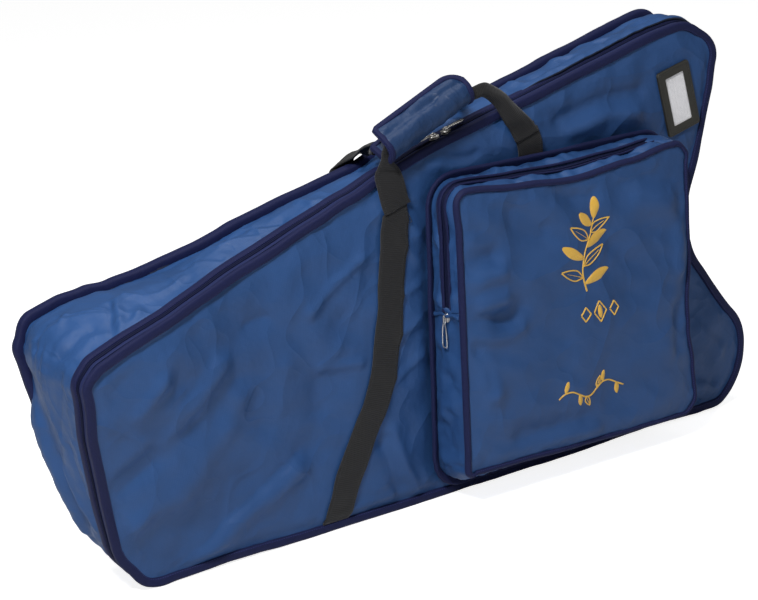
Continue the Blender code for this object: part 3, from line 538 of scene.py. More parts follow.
def nylon(name, colour, roughness=0.48, sheen=0.03, crumple=0.50, crumple_scale=20.0, crease_scale=7.0):
    """Satin woven nylon: a fine plain weave, broad lighter and darker patches of painted shade, sharp creases
    and small crumples.
    """
    look = Shader(name, colour, roughness, Sheen_Weight=sheen, Sheen_Roughness=0.4,
                  Sheen_Tint=(0.45, 0.62, 1.0, 1.0), Specular_IOR_Level=0.30)
    u, v = look.uv()
    weave = look.times(look.wave(u, WEAVE_PITCH), look.wave(v, WEAVE_PITCH))
    # Broad random lighter and darker patches: painted shade in place of the shading of soft folds, over a
    # cloth whose own colour is even.
    mottle = look.half_plus(look.minus(look.noise(11.0, 5.0, 0.62), 0.5), 2.6)
    tone = look.mixed(mottle, 0.7, look.noise(420.0, 2.0, 0.7), 0.3, clamp=False)
    tone = look.plus(tone, look.times(weave, 0.22), clamp=True)
    look.colour_between(tone, shade(colour, 0.86), shade(colour, 1.13))
    for scale, width, height in ((crease_scale, 0.07, 0.0032), (crease_scale * 2.1, 0.10, 0.0016)):
        ridge = look.near(look.noise(scale, 1.0, 0.4), 0.5, width)
        look.bump(look.maths("POWER", ridge, 1.6), crumple, height)
    look.bump(look.noise(crumple_scale, 3.0, 0.5), crumple, 0.0080)
    look.bump(look.noise(crumple_scale * 4.2, 2.0, 0.5), crumple * 0.35, 0.0012)
    look.bump(weave, 0.30, 0.0002)
    return look.material


def grosgrain(name, colour, period=RIB_PITCH, row=0.0128):
    """Ribbed tape: ribs across its length, and a row of stitches at this place across it."""
    look = Shader(name, colour, 0.66, Sheen_Weight=0.05, Sheen_Roughness=0.5,
                  Sheen_Tint=(0.5, 0.55, 1.0, 1.0), Specular_IOR_Level=0.20)
    u, v = look.uv()
    ribs = look.wave(u, period)
    tone = look.mixed(ribs, 0.45, look.noise(260.0, 3.0, 0.6), 0.6)
    cloth = look.colour_between(tone, shade(colour, 0.62), shade(colour, 1.35))
    look.bump(look.noise(70.0, 2.0), 0.3, 0.0012)
    look.bump(ribs, 0.55, 0.00035)
    look.stitches(cloth, u, v, row, THREAD)
    return look.material


def webbing(name, colour):
    """Heavy webbing: close ribs across it, with a row of stitches along each edge."""
    look = Shader(name, colour, 0.72, Sheen_Weight=0.12, Sheen_Roughness=0.5, Specular_IOR_Level=0.3)
    u, v = look.uv()
    ribs = look.wave(u, WEB_PITCH)
    cloth = look.times(ribs, look.half_plus(look.wave(v, 0.0030), 0.5))
    tone = look.mixed(ribs, 0.5, look.noise(330.0, 3.0, 0.6), 0.5)
    over = look.colour_between(tone, shade(colour, 0.55), shade(colour, 1.5))
    look.bump(ribs, 0.6, 0.0004)
    look.bump(cloth, 0.3, 0.0002)
    for at in (-0.0155, 0.0155):
        over = look.stitches(over, u, v, at, shade(colour, 2.2))
    return look.material


def thread(name, colour):
    """Satin stitch: fine threads side by side across the stroke, slightly slanted."""
    look = Shader(name, colour, 0.34, Sheen_Weight=0.3, Sheen_Roughness=0.35, Specular_IOR_Level=0.6)
    u, v = look.uv()
    threads = look.wave(look.plus(u, look.times(v, 0.55)), 0.00075)
    tone = look.mixed(threads, 0.5, look.noise(160.0, 3.0, 0.6), 0.5)
    look.colour_between(tone, shade(colour, 0.62), shade(colour, 1.05))
    look.bump(threads, 0.5, 0.0003)
    return look.material


def printed_card(name):
    """White card with faint ruled lines, greyer in patches towards its upper end."""
    look = Shader(name, (0.76, 0.755, 0.79), 0.55)
    u, v = look.uv()
    rules = look.times(look.minus(look.wave(u, 0.0052), 0.90), 9.0, clamp=True)
    broken = look.times(rules, look.noise(95.0, 3.0, 0.7))
    # Grey patches that grow towards the card's upper end.
    greyer_end = look.times(look.noise(55.0, 4.0, 0.7), look.times(look.minus(v, 0.014), 38.0, clamp=True))
    look.colour_between(look.mixed(broken, 0.55, greyer_end, 0.6), (0.97, 0.965, 0.99), (0.55, 0.55, 0.58))
    look.bump(look.noise(600.0), 0.08, 0.0002)
    return look.material


def clear_film(name):
    """Thin clear vinyl with a soft gloss and faint scuffs."""
    look = Shader(name, (0.9, 0.9, 0.92), 0.12, Specular_IOR_Level=0.5)
    scuff = look.noise(240.0, 4.0, 0.7)
    look.feed(look.spread(scuff, 0.04, 0.16), "Alpha")
    look.bump(scuff, 0.1, 0.0003)
    return look.material


def plain(name, colour, roughness, metallic=0.0, grain=0.0, grain_scale=300.0, **settings):
    """Moulded or plated material with a faint grain and uneven gloss."""
    look = Shader(name, colour, roughness, metallic, **settings)
    mottle = look.noise(grain_scale, 3.0, 0.6)
    look.colour_between(mottle, shade(colour, 0.86), shade(colour, 1.14))
    uneven = look.spread(look.noise(grain_scale * 0.2), roughness * 0.8, min(roughness * 1.25, 1.0))
    look.feed(uneven, "Roughness")
    if grain:
        look.bump(mottle, grain, 0.0003)
    return look.material


BLUE = (0.0215, 0.0690, 0.2010)
THREAD = (0.030, 0.038, 0.16)

FABRIC = nylon("nylon", BLUE)
# The strips between the sides are the same nylon painted 8% lighter: painted light, as they face up and
# outwards to the lamps.
GUSSET_FABRIC_PAINTED_LIGHT = nylon("nylon_gusset_painted_light", shade(BLUE, 1.08), crumple=0.40, crumple_scale=26.0, crease_scale=9.0)
POCKET_FABRIC = nylon("nylon_pocket", BLUE, crumple_scale=15.0)
# The wrap is the same nylon painted at half brightness: painted shade, darkening it where it tilts up to the
# lamps.
WRAP_FABRIC_PAINTED_SHADE = nylon("nylon_wrap_painted_shade", shade(BLUE, 0.50), crumple=0.30, crumple_scale=46.0, crease_scale=19.0)
LINING = nylon("lining", (0.018, 0.024, 0.05), roughness=0.7, sheen=0.1, crumple=0.15)
BINDING = grosgrain("binding", (0.0078, 0.0115, 0.056))
ZIP_TAPE = grosgrain("zip_tape", (0.014, 0.022, 0.085), period=0.0011, row=0.0030)
GOLD_THREAD = thread("gold_thread", (0.95, 0.56, 0.075))
BLACK_THREAD = thread("black_thread", (0.022, 0.022, 0.024))
CARD = printed_card("card")
FILM = clear_film("label_window")
WEBBING = webbing("webbing", (0.0125, 0.0125, 0.0135))
COIL = plain("coil", (0.008, 0.011, 0.040), 0.60, Specular_IOR_Level=0.12)
NICKEL = plain("nickel", (0.70, 0.68, 0.65), 0.27, 1.0, grain=0.05)
DARK_PLASTIC = plain("label_plastic", (0.031, 0.030, 0.025), 0.46, grain=0.25, grain_scale=900.0)


# Side panels

PANEL_STEP, PANEL_INSET, PANEL_THICKNESS = 0.004, 0.006, 0.009
PILLOW, PILLOW_RISE = 0.0060, 0.045
LOWEST_RELIEF = -0.004
FOLD_STRENGTH = 4.0
LABEL_LIFT = 0.003
LABEL_CENTRE = (0.9275, 0.4590)
LABEL_UP = Vector((-0.2377, 0.0, 0.97134))
LABEL_ACROSS = Vector((0.97134, 0.0, 0.2377))
FRONT_FOLDS = [
    ([(0.071, 0.087), (0.132, 0.111), (0.168, 0.146), (0.200, 0.179), (0.220, 0.208)], 0.020, 0.0045, 2),
    ([(0.057, 0.145), (0.101, 0.170), (0.150, 0.200)], 0.016, -0.0030, 2),
    ([(0.117, 0.184), (0.162, 0.223), (0.196, 0.257)], 0.015, 0.0034, 2),
    ([(0.079, 0.231), (0.111, 0.260)], 0.012, 0.0030, 2),
    ([(0.134, 0.019), (0.159, 0.032), (0.197, 0.060), (0.257, 0.093), (0.303, 0.117)], 0.008, -0.0034, 1.5),
    ([(0.150, 0.010), (0.195, 0.040), (0.244, 0.070), (0.300, 0.098)], 0.020, 0.0036, 2),
    ([(0.241, 0.295), (0.269, 0.298)], 0.005, -0.0016, 1.5),
    ([(0.329, 0.292), (0.370, 0.322), (0.406, 0.342)], 0.008, 0.0018, 2),
    ([(0.345, 0.216), (0.398, 0.212)], 0.007, 0.0020, 2),
    ([(0.352, 0.391), (0.388, 0.400), (0.427, 0.408)], 0.007, -0.0030, 1.6),
    ([(0.446, 0.110), (0.454, 0.075), (0.462, 0.050), (0.477, 0.023)], 0.010, 0.0050, 1.8),
    ([(0.430, 0.100), (0.440, 0.062), (0.452, 0.035)], 0.010, -0.0030, 2),
    ([(0.461, 0.283), (0.492, 0.294)], 0.006, 0.0030, 1.6),
    ([(0.457, 0.235), (0.493, 0.249)], 0.006, 0.0030, 1.6),
    ([(0.453, 0.180), (0.495, 0.204)], 0.007, 0.0034, 1.6),
    ([(0.465, 0.354), (0.485, 0.330), (0.501, 0.312)], 0.005, 0.0030, 1.6),
    ([(0.471, 0.385), (0.503, 0.347)], 0.005, 0.0028, 1.6),
    ([(0.482, 0.400), (0.512, 0.372)], 0.005, -0.0030, 1.6),
    ([(0.340, 0.012), (0.385, 0.018), (0.439, 0.024)], 0.010, 0.0030, 2),
    ([(0.330, 0.201), (0.349, 0.150), (0.335, 0.115)], 0.030, -0.0040, 2),
    ([(0.534, 0.456), (0.551, 0.442), (0.572, 0.437), (0.590, 0.441)], 0.006, -0.0036, 1.6),
    ([(0.520, 0.440), (0.545, 0.428), (0.575, 0.424)], 0.008, 0.0026, 2),
    ([(0.725, 0.462), (0.792, 0.478), (0.861, 0.480)], 0.010, -0.0022, 2),
    ([(0.740, 0.445), (0.800, 0.455), (0.850, 0.452)], 0.012, 0.0020, 2),
    ([(0.966, 0.128), (1.008, 0.086)], 0.012, 0.0026, 2),
    ([(0.960, 0.060), (1.000, 0.045)], 0.010, -0.0020, 2),
]


POCKET_WIDTH, POCKET_LIFT, POCKET_RADIUS = 0.378, 0.022, 0.032
POCKET_LEFT, POCKET_TALL = 0.489 * LENGTH, 0.707 * HEIGHT
POCKET_RIGHT, POCKET_TOP = POCKET_LEFT + POCKET_WIDTH, POCKET_LIFT + POCKET_TALL


def pocket_distance(x, z):
    """How far a place is outside the pocket's foot."""
    half_x, half_z = POCKET_WIDTH / 2, POCKET_TALL / 2
    dx = np.abs(x - (POCKET_LEFT + half_x)) - half_x + POCKET_RADIUS
    dz = np.abs(z - (POCKET_LIFT + half_z)) - half_z + POCKET_RADIUS
    return np.hypot(np.maximum(dx, 0), np.maximum(dz, 0)) + np.minimum(np.maximum(dx, dz), 0) - POCKET_RADIUS


def panel_relief(x, z, inside, side):
    """How far the padded panel stands out from its CAD face."""
    pillow = PILLOW * (1 - np.exp(-np.maximum(inside - 0.010, 0) / PILLOW_RISE))
    seam = -0.0022 * fading(inside - 0.014, 0.007)
    loose = rumple(x + z * 0.8, z, 4 + side, 0.075, 0.0050) + rumple(x, z, 9 + side, 0.034, 0.0036)
    pucker = rumple(x, z, 15 + side, 0.014, 0.0010) * fading(inside - 0.018, 0.014)
    out = pillow + seam + loose * smooth((inside - 0.012) / 0.03) + pucker
    if side < 0:
        out = out + folds_at(x, z, FRONT_FOLDS, FOLD_STRENGTH) * smooth((inside - 0.008) / 0.02)
        off_x, off_z = x - LABEL_CENTRE[0], z - LABEL_CENTRE[1]
        across = off_x * LABEL_ACROSS.x + off_z * LABEL_ACROSS.z
        up = off_x * LABEL_UP.x + off_z * LABEL_UP.z
        flat_label = np.exp(-((across / 0.036) ** 4) - ((up - 0.013) / 0.076) ** 4)
        out = out * (1 - flat_label) + (LABEL_LIFT - 0.0008) * flat_label
        out = out * smooth((pocket_distance(x, z) - 0.001) / 0.024)
    return np.maximum(out, LOWEST_RELIEF)


def panel_y(x, z, side, inside=None):
    """The padded panel's face at places of the side view."""
    if inside is None:
        inside = inside_rim(x, z, RIMS[side])[0]
    return side * (depth_at(x, z) / 2 + panel_relief(x, z, inside, side))


def build_panel(name, side, body, node):
    """One padded side of the cover."""
    piece = cut_sheet(
        name, (-0.012, LENGTH + 0.028), (-0.004, HEIGHT + 0.016), PANEL_STEP, RIMS[side], PANEL_INSET,
        lambda x, z, inside: panel_y(x, z, side, inside), [FABRIC, LINING], PANEL_THICKNESS, side > 0,
    )
    dress(piece, body, (node,))


# Seam bindings: half width and half height of the front one and the back one

BINDING_HALVES = {-1: (0.0059, 0.0041), 1: (0.0070, 0.0070)}
BINDING_COUNT = 1100


def build_binding(name, side, body, node):
    """The tape that binds the sewn edge of one side."""
    centres, pairs, swell = [], [], []
    half_wide, half_high = BINDING_HALVES[side]
    for i in range(BINDING_COUNT):
        mark = BODY.total * i / BINDING_COUNT
        point, _, normal = BODY.at(mark)
        edge = point + normal * (edge_offset(mark, side) - 0.0004)
        spot = edge - normal * half_wide
        waver = 0.0006 * wander(mark, 21 + side, 0.03)
        centres.append((spot.x, side * (depth_at(edge.x, edge.y) / 2 + 0.0019 - half_high + waver), spot.y))
        pairs.append(turned(upright(normal), BACKWARD * side, -0.22 * wander(mark, 11 + side, 0.09)))
        swell.append(1.0 + 0.05 * wander(mark, 31 + side, 0.02))
    wides, highs = zip(*pairs)
    piece = sweep(name, centres, wides, highs, oval(half_wide, half_high), BINDING, swell=swell)
    dress(piece, body, (node,))


# Strips between the two sides, with folds as places along the edge and across it

BEAD_END = 0.0103
ZIP_CENTRE = BEAD_END + 0.00615
GUARD_START, GUARD_WIDE, GUARD_COVER = ZIP_CENTRE + 0.0042, 0.0105, 0.0085
GUSSET_START = GUARD_START + GUARD_WIDE - 0.003
GUSSET_STEP, GUSSET_COLUMNS = 0.0024, 44
COVER_END = 1.93
GUSSET_FOLDS = [
    ([(2.509, 0.080), (2.527, 0.053), (2.542, 0.026)], 0.0045, -0.0075, 1.6),
    ([(2.499, 0.080), (2.519, 0.045), (2.531, 0.022)], 0.007, 0.0050, 1.7),
    ([(2.488, 0.046), (2.514, 0.030), (2.533, 0.020)], 0.006, 0.0035, 1.7),
    ([(2.542, 0.041), (2.557, 0.047), (2.575, 0.040), (2.590, 0.041), (2.602, 0.050)], 0.0048, 0.0060, 1.5),
    ([(2.548, 0.060), (2.565, 0.062), (2.583, 0.055), (2.600, 0.062)], 0.0045, -0.0035, 1.6),
    ([(2.521, 0.068), (2.545, 0.089), (2.563, 0.101)], 0.0045, 0.0045, 1.5),
    ([(2.569, 0.071), (2.587, 0.071), (2.605, 0.071), (2.611, 0.077)], 0.0045, 0.0055, 1.5),
    ([(2.551, 0.113), (2.569, 0.095), (2.590, 0.107), (2.599, 0.128)], 0.0050, 0.0048, 1.5),
    ([(2.560, 0.120), (2.580, 0.118), (2.604, 0.112)], 0.0050, -0.0035, 1.6),
    ([(2.542, 0.023), (2.584, 0.023), (2.629, 0.024), (2.665, 0.023), (2.689, 0.021)], 0.0034, 0.0042, 1.6),
    ([(2.575, 0.032), (2.593, 0.031), (2.614, 0.031), (2.640, 0.032), (2.689, 0.031)], 0.0030, 0.0034, 1.5),
    ([(2.600, 0.039), (2.640, 0.041), (2.670, 0.043), (2.700, 0.041)], 0.0030, 0.0030, 1.5),
    ([(2.599, 0.095), (2.614, 0.092), (2.635, 0.098), (2.656, 0.104)], 0.0034, -0.0040, 1.5),
    ([(2.604, 0.086), (2.625, 0.084), (2.650, 0.092)], 0.0034, 0.0034, 1.5),
    ([(2.602, 0.113), (2.617, 0.107), (2.638, 0.113)], 0.0034, -0.0034, 1.5),
    ([(2.650, 0.110), (2.668, 0.098), (2.692, 0.086), (2.710, 0.077), (2.737, 0.083)], 0.0036, -0.0058, 1.5),
    ([(2.650, 0.101), (2.672, 0.089), (2.696, 0.077), (2.716, 0.068)], 0.0042, 0.0042, 1.6),
    ([(2.620, 0.050), (2.641, 0.053), (2.671, 0.062), (2.701, 0.070)], 0.0036, -0.0045, 1.5),
    ([(2.413, 0.053), (2.452, 0.053), (2.473, 0.062), (2.485, 0.083)], 0.0050, 0.0050, 1.6),
    ([(2.347, 0.059), (2.314, 0.041), (2.287, 0.024)], 0.0050, 0.0050, 1.6),
    ([(2.312, 0.077), (2.300, 0.045), (2.268, 0.024)], 0.0050, 0.0050, 1.6),
    ([(2.330, 0.070), (2.300, 0.060), (2.270, 0.040)], 0.0060, -0.0040, 1.6),
    ([(2.233, 0.060), (2.224, 0.035), (2.203, 0.024)], 0.0050, 0.0045, 1.6),
    ([(2.389, 0.059), (2.374, 0.044), (2.359, 0.024)], 0.0050, 0.0045, 1.6),
    ([(2.400, 0.070), (2.385, 0.060), (2.365, 0.036)], 0.0050, -0.0040, 1.6),
    ([(2.710, 0.044), (2.749, 0.032), (2.800, 0.026)], 0.0050, 0.0045, 1.6),
    ([(2.715, 0.058), (2.760, 0.046), (2.810, 0.036)], 0.0045, -0.0040, 1.6),
    ([(2.752, 0.077), (2.794, 0.058), (2.833, 0.040)], 0.0055, 0.0045, 1.6),
    ([(2.745, 0.100), (2.790, 0.080), (2.830, 0.060)], 0.0060, -0.0040, 1.6),
    ([(1.885, 0.060), (1.879, 0.035), (1.864, 0.024)], 0.0060, 0.0045, 1.6),
    ([(1.870, 0.070), (1.862, 0.045), (1.850, 0.028)], 0.0060, -0.0040, 1.6),
    ([(1.696, 0.060), (1.672, 0.066), (1.654, 0.062)], 0.0060, -0.0055, 1.6),
    ([(1.700, 0.035), (1.680, 0.045), (1.660, 0.048)], 0.0060, 0.0050, 1.6),
    ([(1.813, 0.060), (1.786, 0.040), (1.750, 0.029)], 0.0060, 0.0040, 1.6),
    ([(1.760, 0.080), (1.740, 0.055), (1.722, 0.035)], 0.0060, 0.0038, 1.6),
    ([(2.020, 0.080), (2.000, 0.055), (1.985, 0.030)], 0.0060, 0.0040, 1.6),
    ([(2.110, 0.080), (2.095, 0.055), (2.070, 0.030)], 0.0060, -0.0040, 1.6),
    ([(2.135, 0.100), (2.125, 0.060)], 0.0160, -0.0060, 2),
]

GUSSET_FOLD_STRENGTH = 2.2
# Where the strip rolls over the back binding and where it rolls back, as places along the edge, and how high
ROLL_START, ROLL_END, ROLL_HEIGHT = 2.655, 2.830, 0.0190


def edge_point(mark, across):
    """The outline's point and normal at a share across from the front edge to the back one."""
    point, _, normal = BODY.at(mark)
    lift = edge_offset(mark, -1) * (1 - across) + edge_offset(mark, 1) * across
    return point + normal * lift, normal


def gusset_relief(mark, w, depth):
    """How far a strip stands out: sag between its seams, puckers at them, and the roll over the binding."""
    edge = np.minimum(w - BEAD_END, depth - BEAD_END - w)
    bulge = 0.012 * smooth(edge / (0.5 * depth)) * np.clip(depth / DEPTH_BASE, 0.3, 1.0)
    pucker = rumple(mark, w, 41, 0.013, 0.0009, 0.8) * np.exp(-np.maximum(edge, 0) / 0.014)
    loose = rumple(mark, w, 43, 0.030, 0.0015, 0.6) + rumple(mark, w, 45, 0.07, 0.0062)
    rolled = smooth((mark - ROLL_START) / 0.06) * (1 - 0.8 * smooth((mark - ROLL_END) / 0.07))
    back = (ROLL_HEIGHT * rolled - 0.0066) * (1 - smooth((depth - w - 0.014) / 0.022))
    return bulge + pucker + loose * smooth(edge / 0.02) + back


def gusset_strip(first, last, start):
    """Rows of points round the edge, their UV places and outward directions."""
    marks = np.linspace(first, last, int((last - first) / GUSSET_STEP) + 1)
    beside_zip = start > BEAD_END
    base, outs, widths, depths = [], [], [], []
    for mark in marks:
        point = BODY.at(mark)[0]
        depth = float(depth_at(point.x, point.y))
        near = start - (GUARD_COVER * float(smooth((COVER_END - mark) / 0.10)) if beside_zip else 0.0)
        ws = near + (depth - 0.0078 - near) * np.linspace(0, 1, GUSSET_COLUMNS)
        spots = [edge_point(mark, w / depth) for w in ws]
        base.append([(spot.x, -depth / 2 + w, spot.y) for w, (spot, _) in zip(ws, spots)])
        outs.append([tuple(upright(normal)) for _, normal in spots])
        widths.append(ws)
        depths.append(depth)
    base, outs, w = np.array(base), np.array(outs), np.array(widths)
    mark, depth = (np.repeat(np.array(v)[:, None], GUSSET_COLUMNS, 1) for v in (marks, depths))
    folds = folds_at(mark % BODY.total, w, GUSSET_FOLDS, GUSSET_FOLD_STRENGTH)
    edge = np.minimum(w - start, depth - 0.010 - w)
    lift = gusset_relief(mark, w, depth) - 0.0035 + folds * smooth(edge / 0.010)
    if beside_zip:
        lift = lift + 0.0052 * smooth((COVER_END - mark) / 0.10) * (1 - smooth((w - start) / 0.012))
    rows = base + outs * lift[..., None]
    rows[..., 2] = np.maximum(rows[..., 2], 0.0)
    return rows, np.stack([mark, w], -1), outs


def build_gusset(name, first, last, start, nodes):
    """One soft strip, from past the zip or from the front binding to the back binding."""
    rows, uvs, outs = gusset_strip(first, last, start)
    piece = make(name, rows, grid(rows, outs), uvs, [GUSSET_FABRIC_PAINTED_LIGHT, LINING], 0.004)
    dress(piece, "shell", nodes)


# Main zip

ZIP_MARKS = (ZIP_FIRST + 0.001, ZIP_LAST - 0.001)
COIL_DIP = 0.55


def zip_line(across, inward, step):
    """Centres and outward normals of a narrow strip that runs beside the front edge."""
    first, last = ZIP_MARKS
    centres, normals = [], []
    for mark in np.linspace(first, last, int((last - first) / step) + 1):
        point = BODY.at(mark)[0]
        depth = float(depth_at(point.x, point.y))
        edge, normal = edge_point(mark, across / depth)
        spot = edge - normal * inward
        centres.append((spot.x, -depth / 2 + across, spot.y))
        normals.append(tuple(upright(normal)))
    return centres, normals


def zip_strip(name, centres, normals, section, finish, body, nodes):
    """A zip's tape, or its coil with turns that stand out in step."""
    count = len(centres)
    beat = np.where(np.arange(count) % 2 == 0, 1.0, COIL_DIP) if finish == COIL else None
    piece = sweep(name, centres, [tuple(BACKWARD)] * count, normals, section, finish, False, beat)
    dress(piece, body, nodes)


def build_zip_side(name, near, far, body, node):
    """One half of the zip: woven tape with its coil along the inner edge."""
    tape = oval(abs(far - near) / 2, 0.0007, 8, 0.4)
    coil = oval(0.0013, 0.0012, 6, 0.8)
    edge = far - math.copysign(0.0014, far - near)
    zip_strip(name + "_tape", *zip_line((near + far) / 2, 0.0034, 0.0035), tape, ZIP_TAPE, body, (node,))
    zip_strip(name + "_coil", *zip_line(edge, 0.0021, 0.0007), coil, COIL, body, ())


def build_guard():
    """The bound edge of the strip beside the zip."""
    centres, normals = zip_line(GUARD_START + GUARD_WIDE / 2, 0.0026, 0.0030)
    tilts = [0.10 + 0.12 * wander(i * 0.003, 51, 0.08) for i in range(len(centres))]
    pairs = [turned(np.array(BACKWARD), np.array(normal), tilt) for normal, tilt in zip(normals, tilts)]
    piece = sweep("zip_guard", centres, *zip(*pairs), oval(GUARD_WIDE / 2, 0.0030), BINDING, False)
    dress(piece, "shell", ("zip_band",))


# Pocket

POCKET_DEEP = 0.060
POCKET_FRONT_Y = -DEPTH_TOP / 2 - POCKET_DEEP
FACE_RADII = (0.012, 0.020, 0.020, 0.012)
# How far the pocket's front strays from its rectangle: (place counted in corners and sides, outward offset)
FACE_STRAY = [
    (0.0, 0.001), (0.5, -0.002), (1.0, -0.0065), (1.22, -0.005), (1.5, -0.0013), (1.8, 0.001), (2.0, 0.002),
    (2.5, 0.006), (3.0, 0.0112), (3.15, 0.007), (3.3, -0.001), (3.42, -0.0022), (3.6, 0.002), (3.8, -0.0006),
    (4.0, -0.003), (4.5, 0.003), (5.03, 0.0090), (5.236, -0.0009), (5.51, -0.0080), (5.753, -0.0012),
    (5.99, 0.0070), (6.5, 0.005), (7.0, 0.003), (7.1, 0.0), (7.9, 0.0),
]


def pocket_outline(low, high, radii):
    """The pocket's square outline between two heights, with its corner radii."""
    places = ((POCKET_LEFT, low), (POCKET_RIGHT, low), (POCKET_RIGHT, high), (POCKET_LEFT, high))
    return Outline([(x, z, radius) for (x, z), radius in zip(places, radii)])


POCKET_BASE = pocket_outline(POCKET_LIFT, POCKET_TOP, (POCKET_RADIUS,) * 4)
POCKET_FACE = pocket_outline(POCKET_LIFT + 0.020, POCKET_TOP - 0.010, FACE_RADII)
POCKET_PIECES = 8

# The slanted line that the corner folds on, and where the pocket's zip ends on the top and on the side
FOLD_LOW = Vector((POCKET_LEFT, 0.26155))
FOLD_FAR_X = POCKET_LEFT + 0.90 * POCKET_WIDTH
TOP_MARK = 5 + (POCKET_RIGHT - FACE_RADII[2] - FOLD_FAR_X) / POCKET_FACE.pieces[5][1]
SIDE_MARK = 7 + (POCKET_FACE.points[3].y - FACE_RADII[3] - FOLD_LOW.y) / POCKET_FACE.pieces[7][1]


def face_stray(mark):
    """How far the pocket's front strays outwards at this mark."""
    return stray(FACE_STRAY, mark % POCKET_PIECES, float(POCKET_PIECES))


FACE_RIM_COUNT = 1200
FACE_RIM = rim(
    (POCKET_FACE.at_piece(mark), face_stray(mark))
    for mark in np.linspace(0, POCKET_PIECES, FACE_RIM_COUNT, endpoint=False)
)


def pocket_marks(first=0.0, last=float(POCKET_PIECES), step=0.004, whole=False):
    """Marks round the pocket, counted in pieces, about this far apart."""
    marks, mark = [], first
    while mark < last - 1e-6:
        marks.append(mark)
        mark += step / POCKET_FACE.pieces[int(mark + 1e-9) % POCKET_PIECES][1]
        mark = min(mark, math.floor(marks[-1] + 1e-9) + 1)
    return marks if whole else marks + [last]


def pocket_frame(mark, share):
    """A place on the pocket's wall in the side view, its outward normal, and how far forward it is."""
    low, _, normal_low = POCKET_BASE.at_piece(mark)
    high, _, normal_high = POCKET_FACE.at_piece(mark)
    normal = normal_low.lerp(normal_high, share).normalized()
    spot = low.lerp(high + normal_high * face_stray(mark), share)
    start = -float(depth_at(spot.x, spot.y)) / 2
    return spot, normal, start + (POCKET_FRONT_Y - start) * share


def pocket_run(mark):
    """The distance round the pocket's front at this mark."""
    start, length = POCKET_FACE.pieces[int(mark) % POCKET_PIECES][:2]
    return start + length * (mark % 1)


WALL_COLUMNS = 17


def wall_relief(run, share):
    """The wall sags outwards between its seams, with folds across it."""
    middle = 4 * np.clip(share, 0, 1) * np.clip(1 - share, 0, 1)
    across = share * POCKET_DEEP
    wide = rumple(run, across, 61, 0.034, 0.0075) + rumple(run, across, 63, 0.014, 0.0044)
    return 0.0030 * middle + wide * np.sqrt(middle)


def build_wall(name, marks, shares_at, inset, closed):
    """A strip of the pocket's wall. shares_at gives the first and the last share at a mark."""
    rows, outs, uvs = [], [], []
    for mark in marks:
        first, last = shares_at(mark)
        shares = first + (last - first) * np.linspace(0, 1, WALL_COLUMNS)
        run = pocket_run(mark)
        span = (shares - first) / (last - first)
        lift = wall_relief(np.full(WALL_COLUMNS, run), shares) * np.sqrt(np.clip(4 * span * (1 - span), 0, 1))
        frames = [pocket_frame(mark, share) for share in shares]
        spots = [spot + normal * (up - inset) for (spot, normal, _), up in zip(frames, lift)]
        rows.append([(spot.x, y, spot.y) for spot, (_, _, y) in zip(spots, frames)])
        outs.append([tuple(upright(normal)) for _, normal, _ in frames])
        uvs.append([(run, share * POCKET_DEEP) for share in shares])
    rows = np.array(rows)
    return make(name, rows, grid(rows, np.array(outs), closed), uvs, [POCKET_FABRIC, LINING], 0.0025)


# Soft dents and ridges of the pocket's front, as places in the side view, width, height and sharpness
FACE_FOLDS = [
    ([(0.575, 0.245), (0.600, 0.252)], 0.016, -0.0050, 2),
    ([(0.540, 0.268), (0.575, 0.270)], 0.012, 0.0030, 2),
    ([(0.520, 0.232), (0.560, 0.222), (0.600, 0.228)], 0.010, 0.0040, 2),
    ([(0.520, 0.255), (0.550, 0.250), (0.590, 0.238)], 0.008, -0.0035, 1.8),
    ([(0.522, 0.330), (0.560, 0.326)], 0.014, -0.0038, 2),
    ([(0.530, 0.300), (0.570, 0.305)], 0.014, 0.0030, 2),
    ([(0.540, 0.190), (0.555, 0.150)], 0.014, 0.0034, 2),
    ([(0.530, 0.215), (0.545, 0.185), (0.548, 0.160)], 0.008, -0.0036, 1.8),
    ([(0.660, 0.395), (0.690, 0.380), (0.720, 0.376)], 0.014, -0.0036, 2),
    ([(0.880, 0.300), (0.876, 0.250)], 0.014, 0.0040, 2),
    ([(0.870, 0.195), (0.868, 0.140)], 0.012, -0.0034, 2),
    ([(0.560, 0.060), (0.640, 0.062), (0.720, 0.056)], 0.014, 0.0034, 2),
    ([(0.600, 0.085), (0.700, 0.080)], 0.016, -0.0026, 2),
    ([(0.800, 0.360), (0.850, 0.345)], 0.020, 0.0028, 2),
    ([(0.600, 0.360), (0.640, 0.340)], 0.022, -0.0026, 2),
]
FACE_STEP, FACE_INSET = 0.004, 0.0042
FACE_FOLD_STRENGTH = 2.8


def face_y(x, z, inside=None):
    """The pocket's padded front: crowned, drawn in along its binding, with soft dents."""
    if inside is None:
        inside = inside_rim(x, z, FACE_RIM)[0]
    crown = 0.0085 * (1 - np.exp(-np.maximum(inside - 0.004, 0) / 0.035))
    loose = rumple(x, z, 71, 0.10, 0.0080) + rumple(x + z, z, 73, 0.040, 0.0040)
    pucker = rumple(x, z, 75, 0.013, 0.0014) * fading(inside - 0.014, 0.014)
    folds = folds_at(x, z, FACE_FOLDS, FACE_FOLD_STRENGTH)
    relief = crown + (loose + folds) * smooth(inside / 0.03) + pucker
    return POCKET_FRONT_Y - np.maximum(relief, -0.003)


def build_pocket_face():
    """The pocket's padded front."""
    xs = (POCKET_LEFT - 3 * FACE_STEP, POCKET_RIGHT + 5 * FACE_STEP)
    zs = (POCKET_FACE.points[0].y - 3 * FACE_STEP, POCKET_FACE.points[3].y + 4 * FACE_STEP)
    finishes = [POCKET_FABRIC, LINING]
    piece = cut_sheet("pocket_face", xs, zs, FACE_STEP, FACE_RIM, FACE_INSET, face_y, finishes, 0.0035)
    dress(piece, None, ("pocket_front", "pocket_corner"))


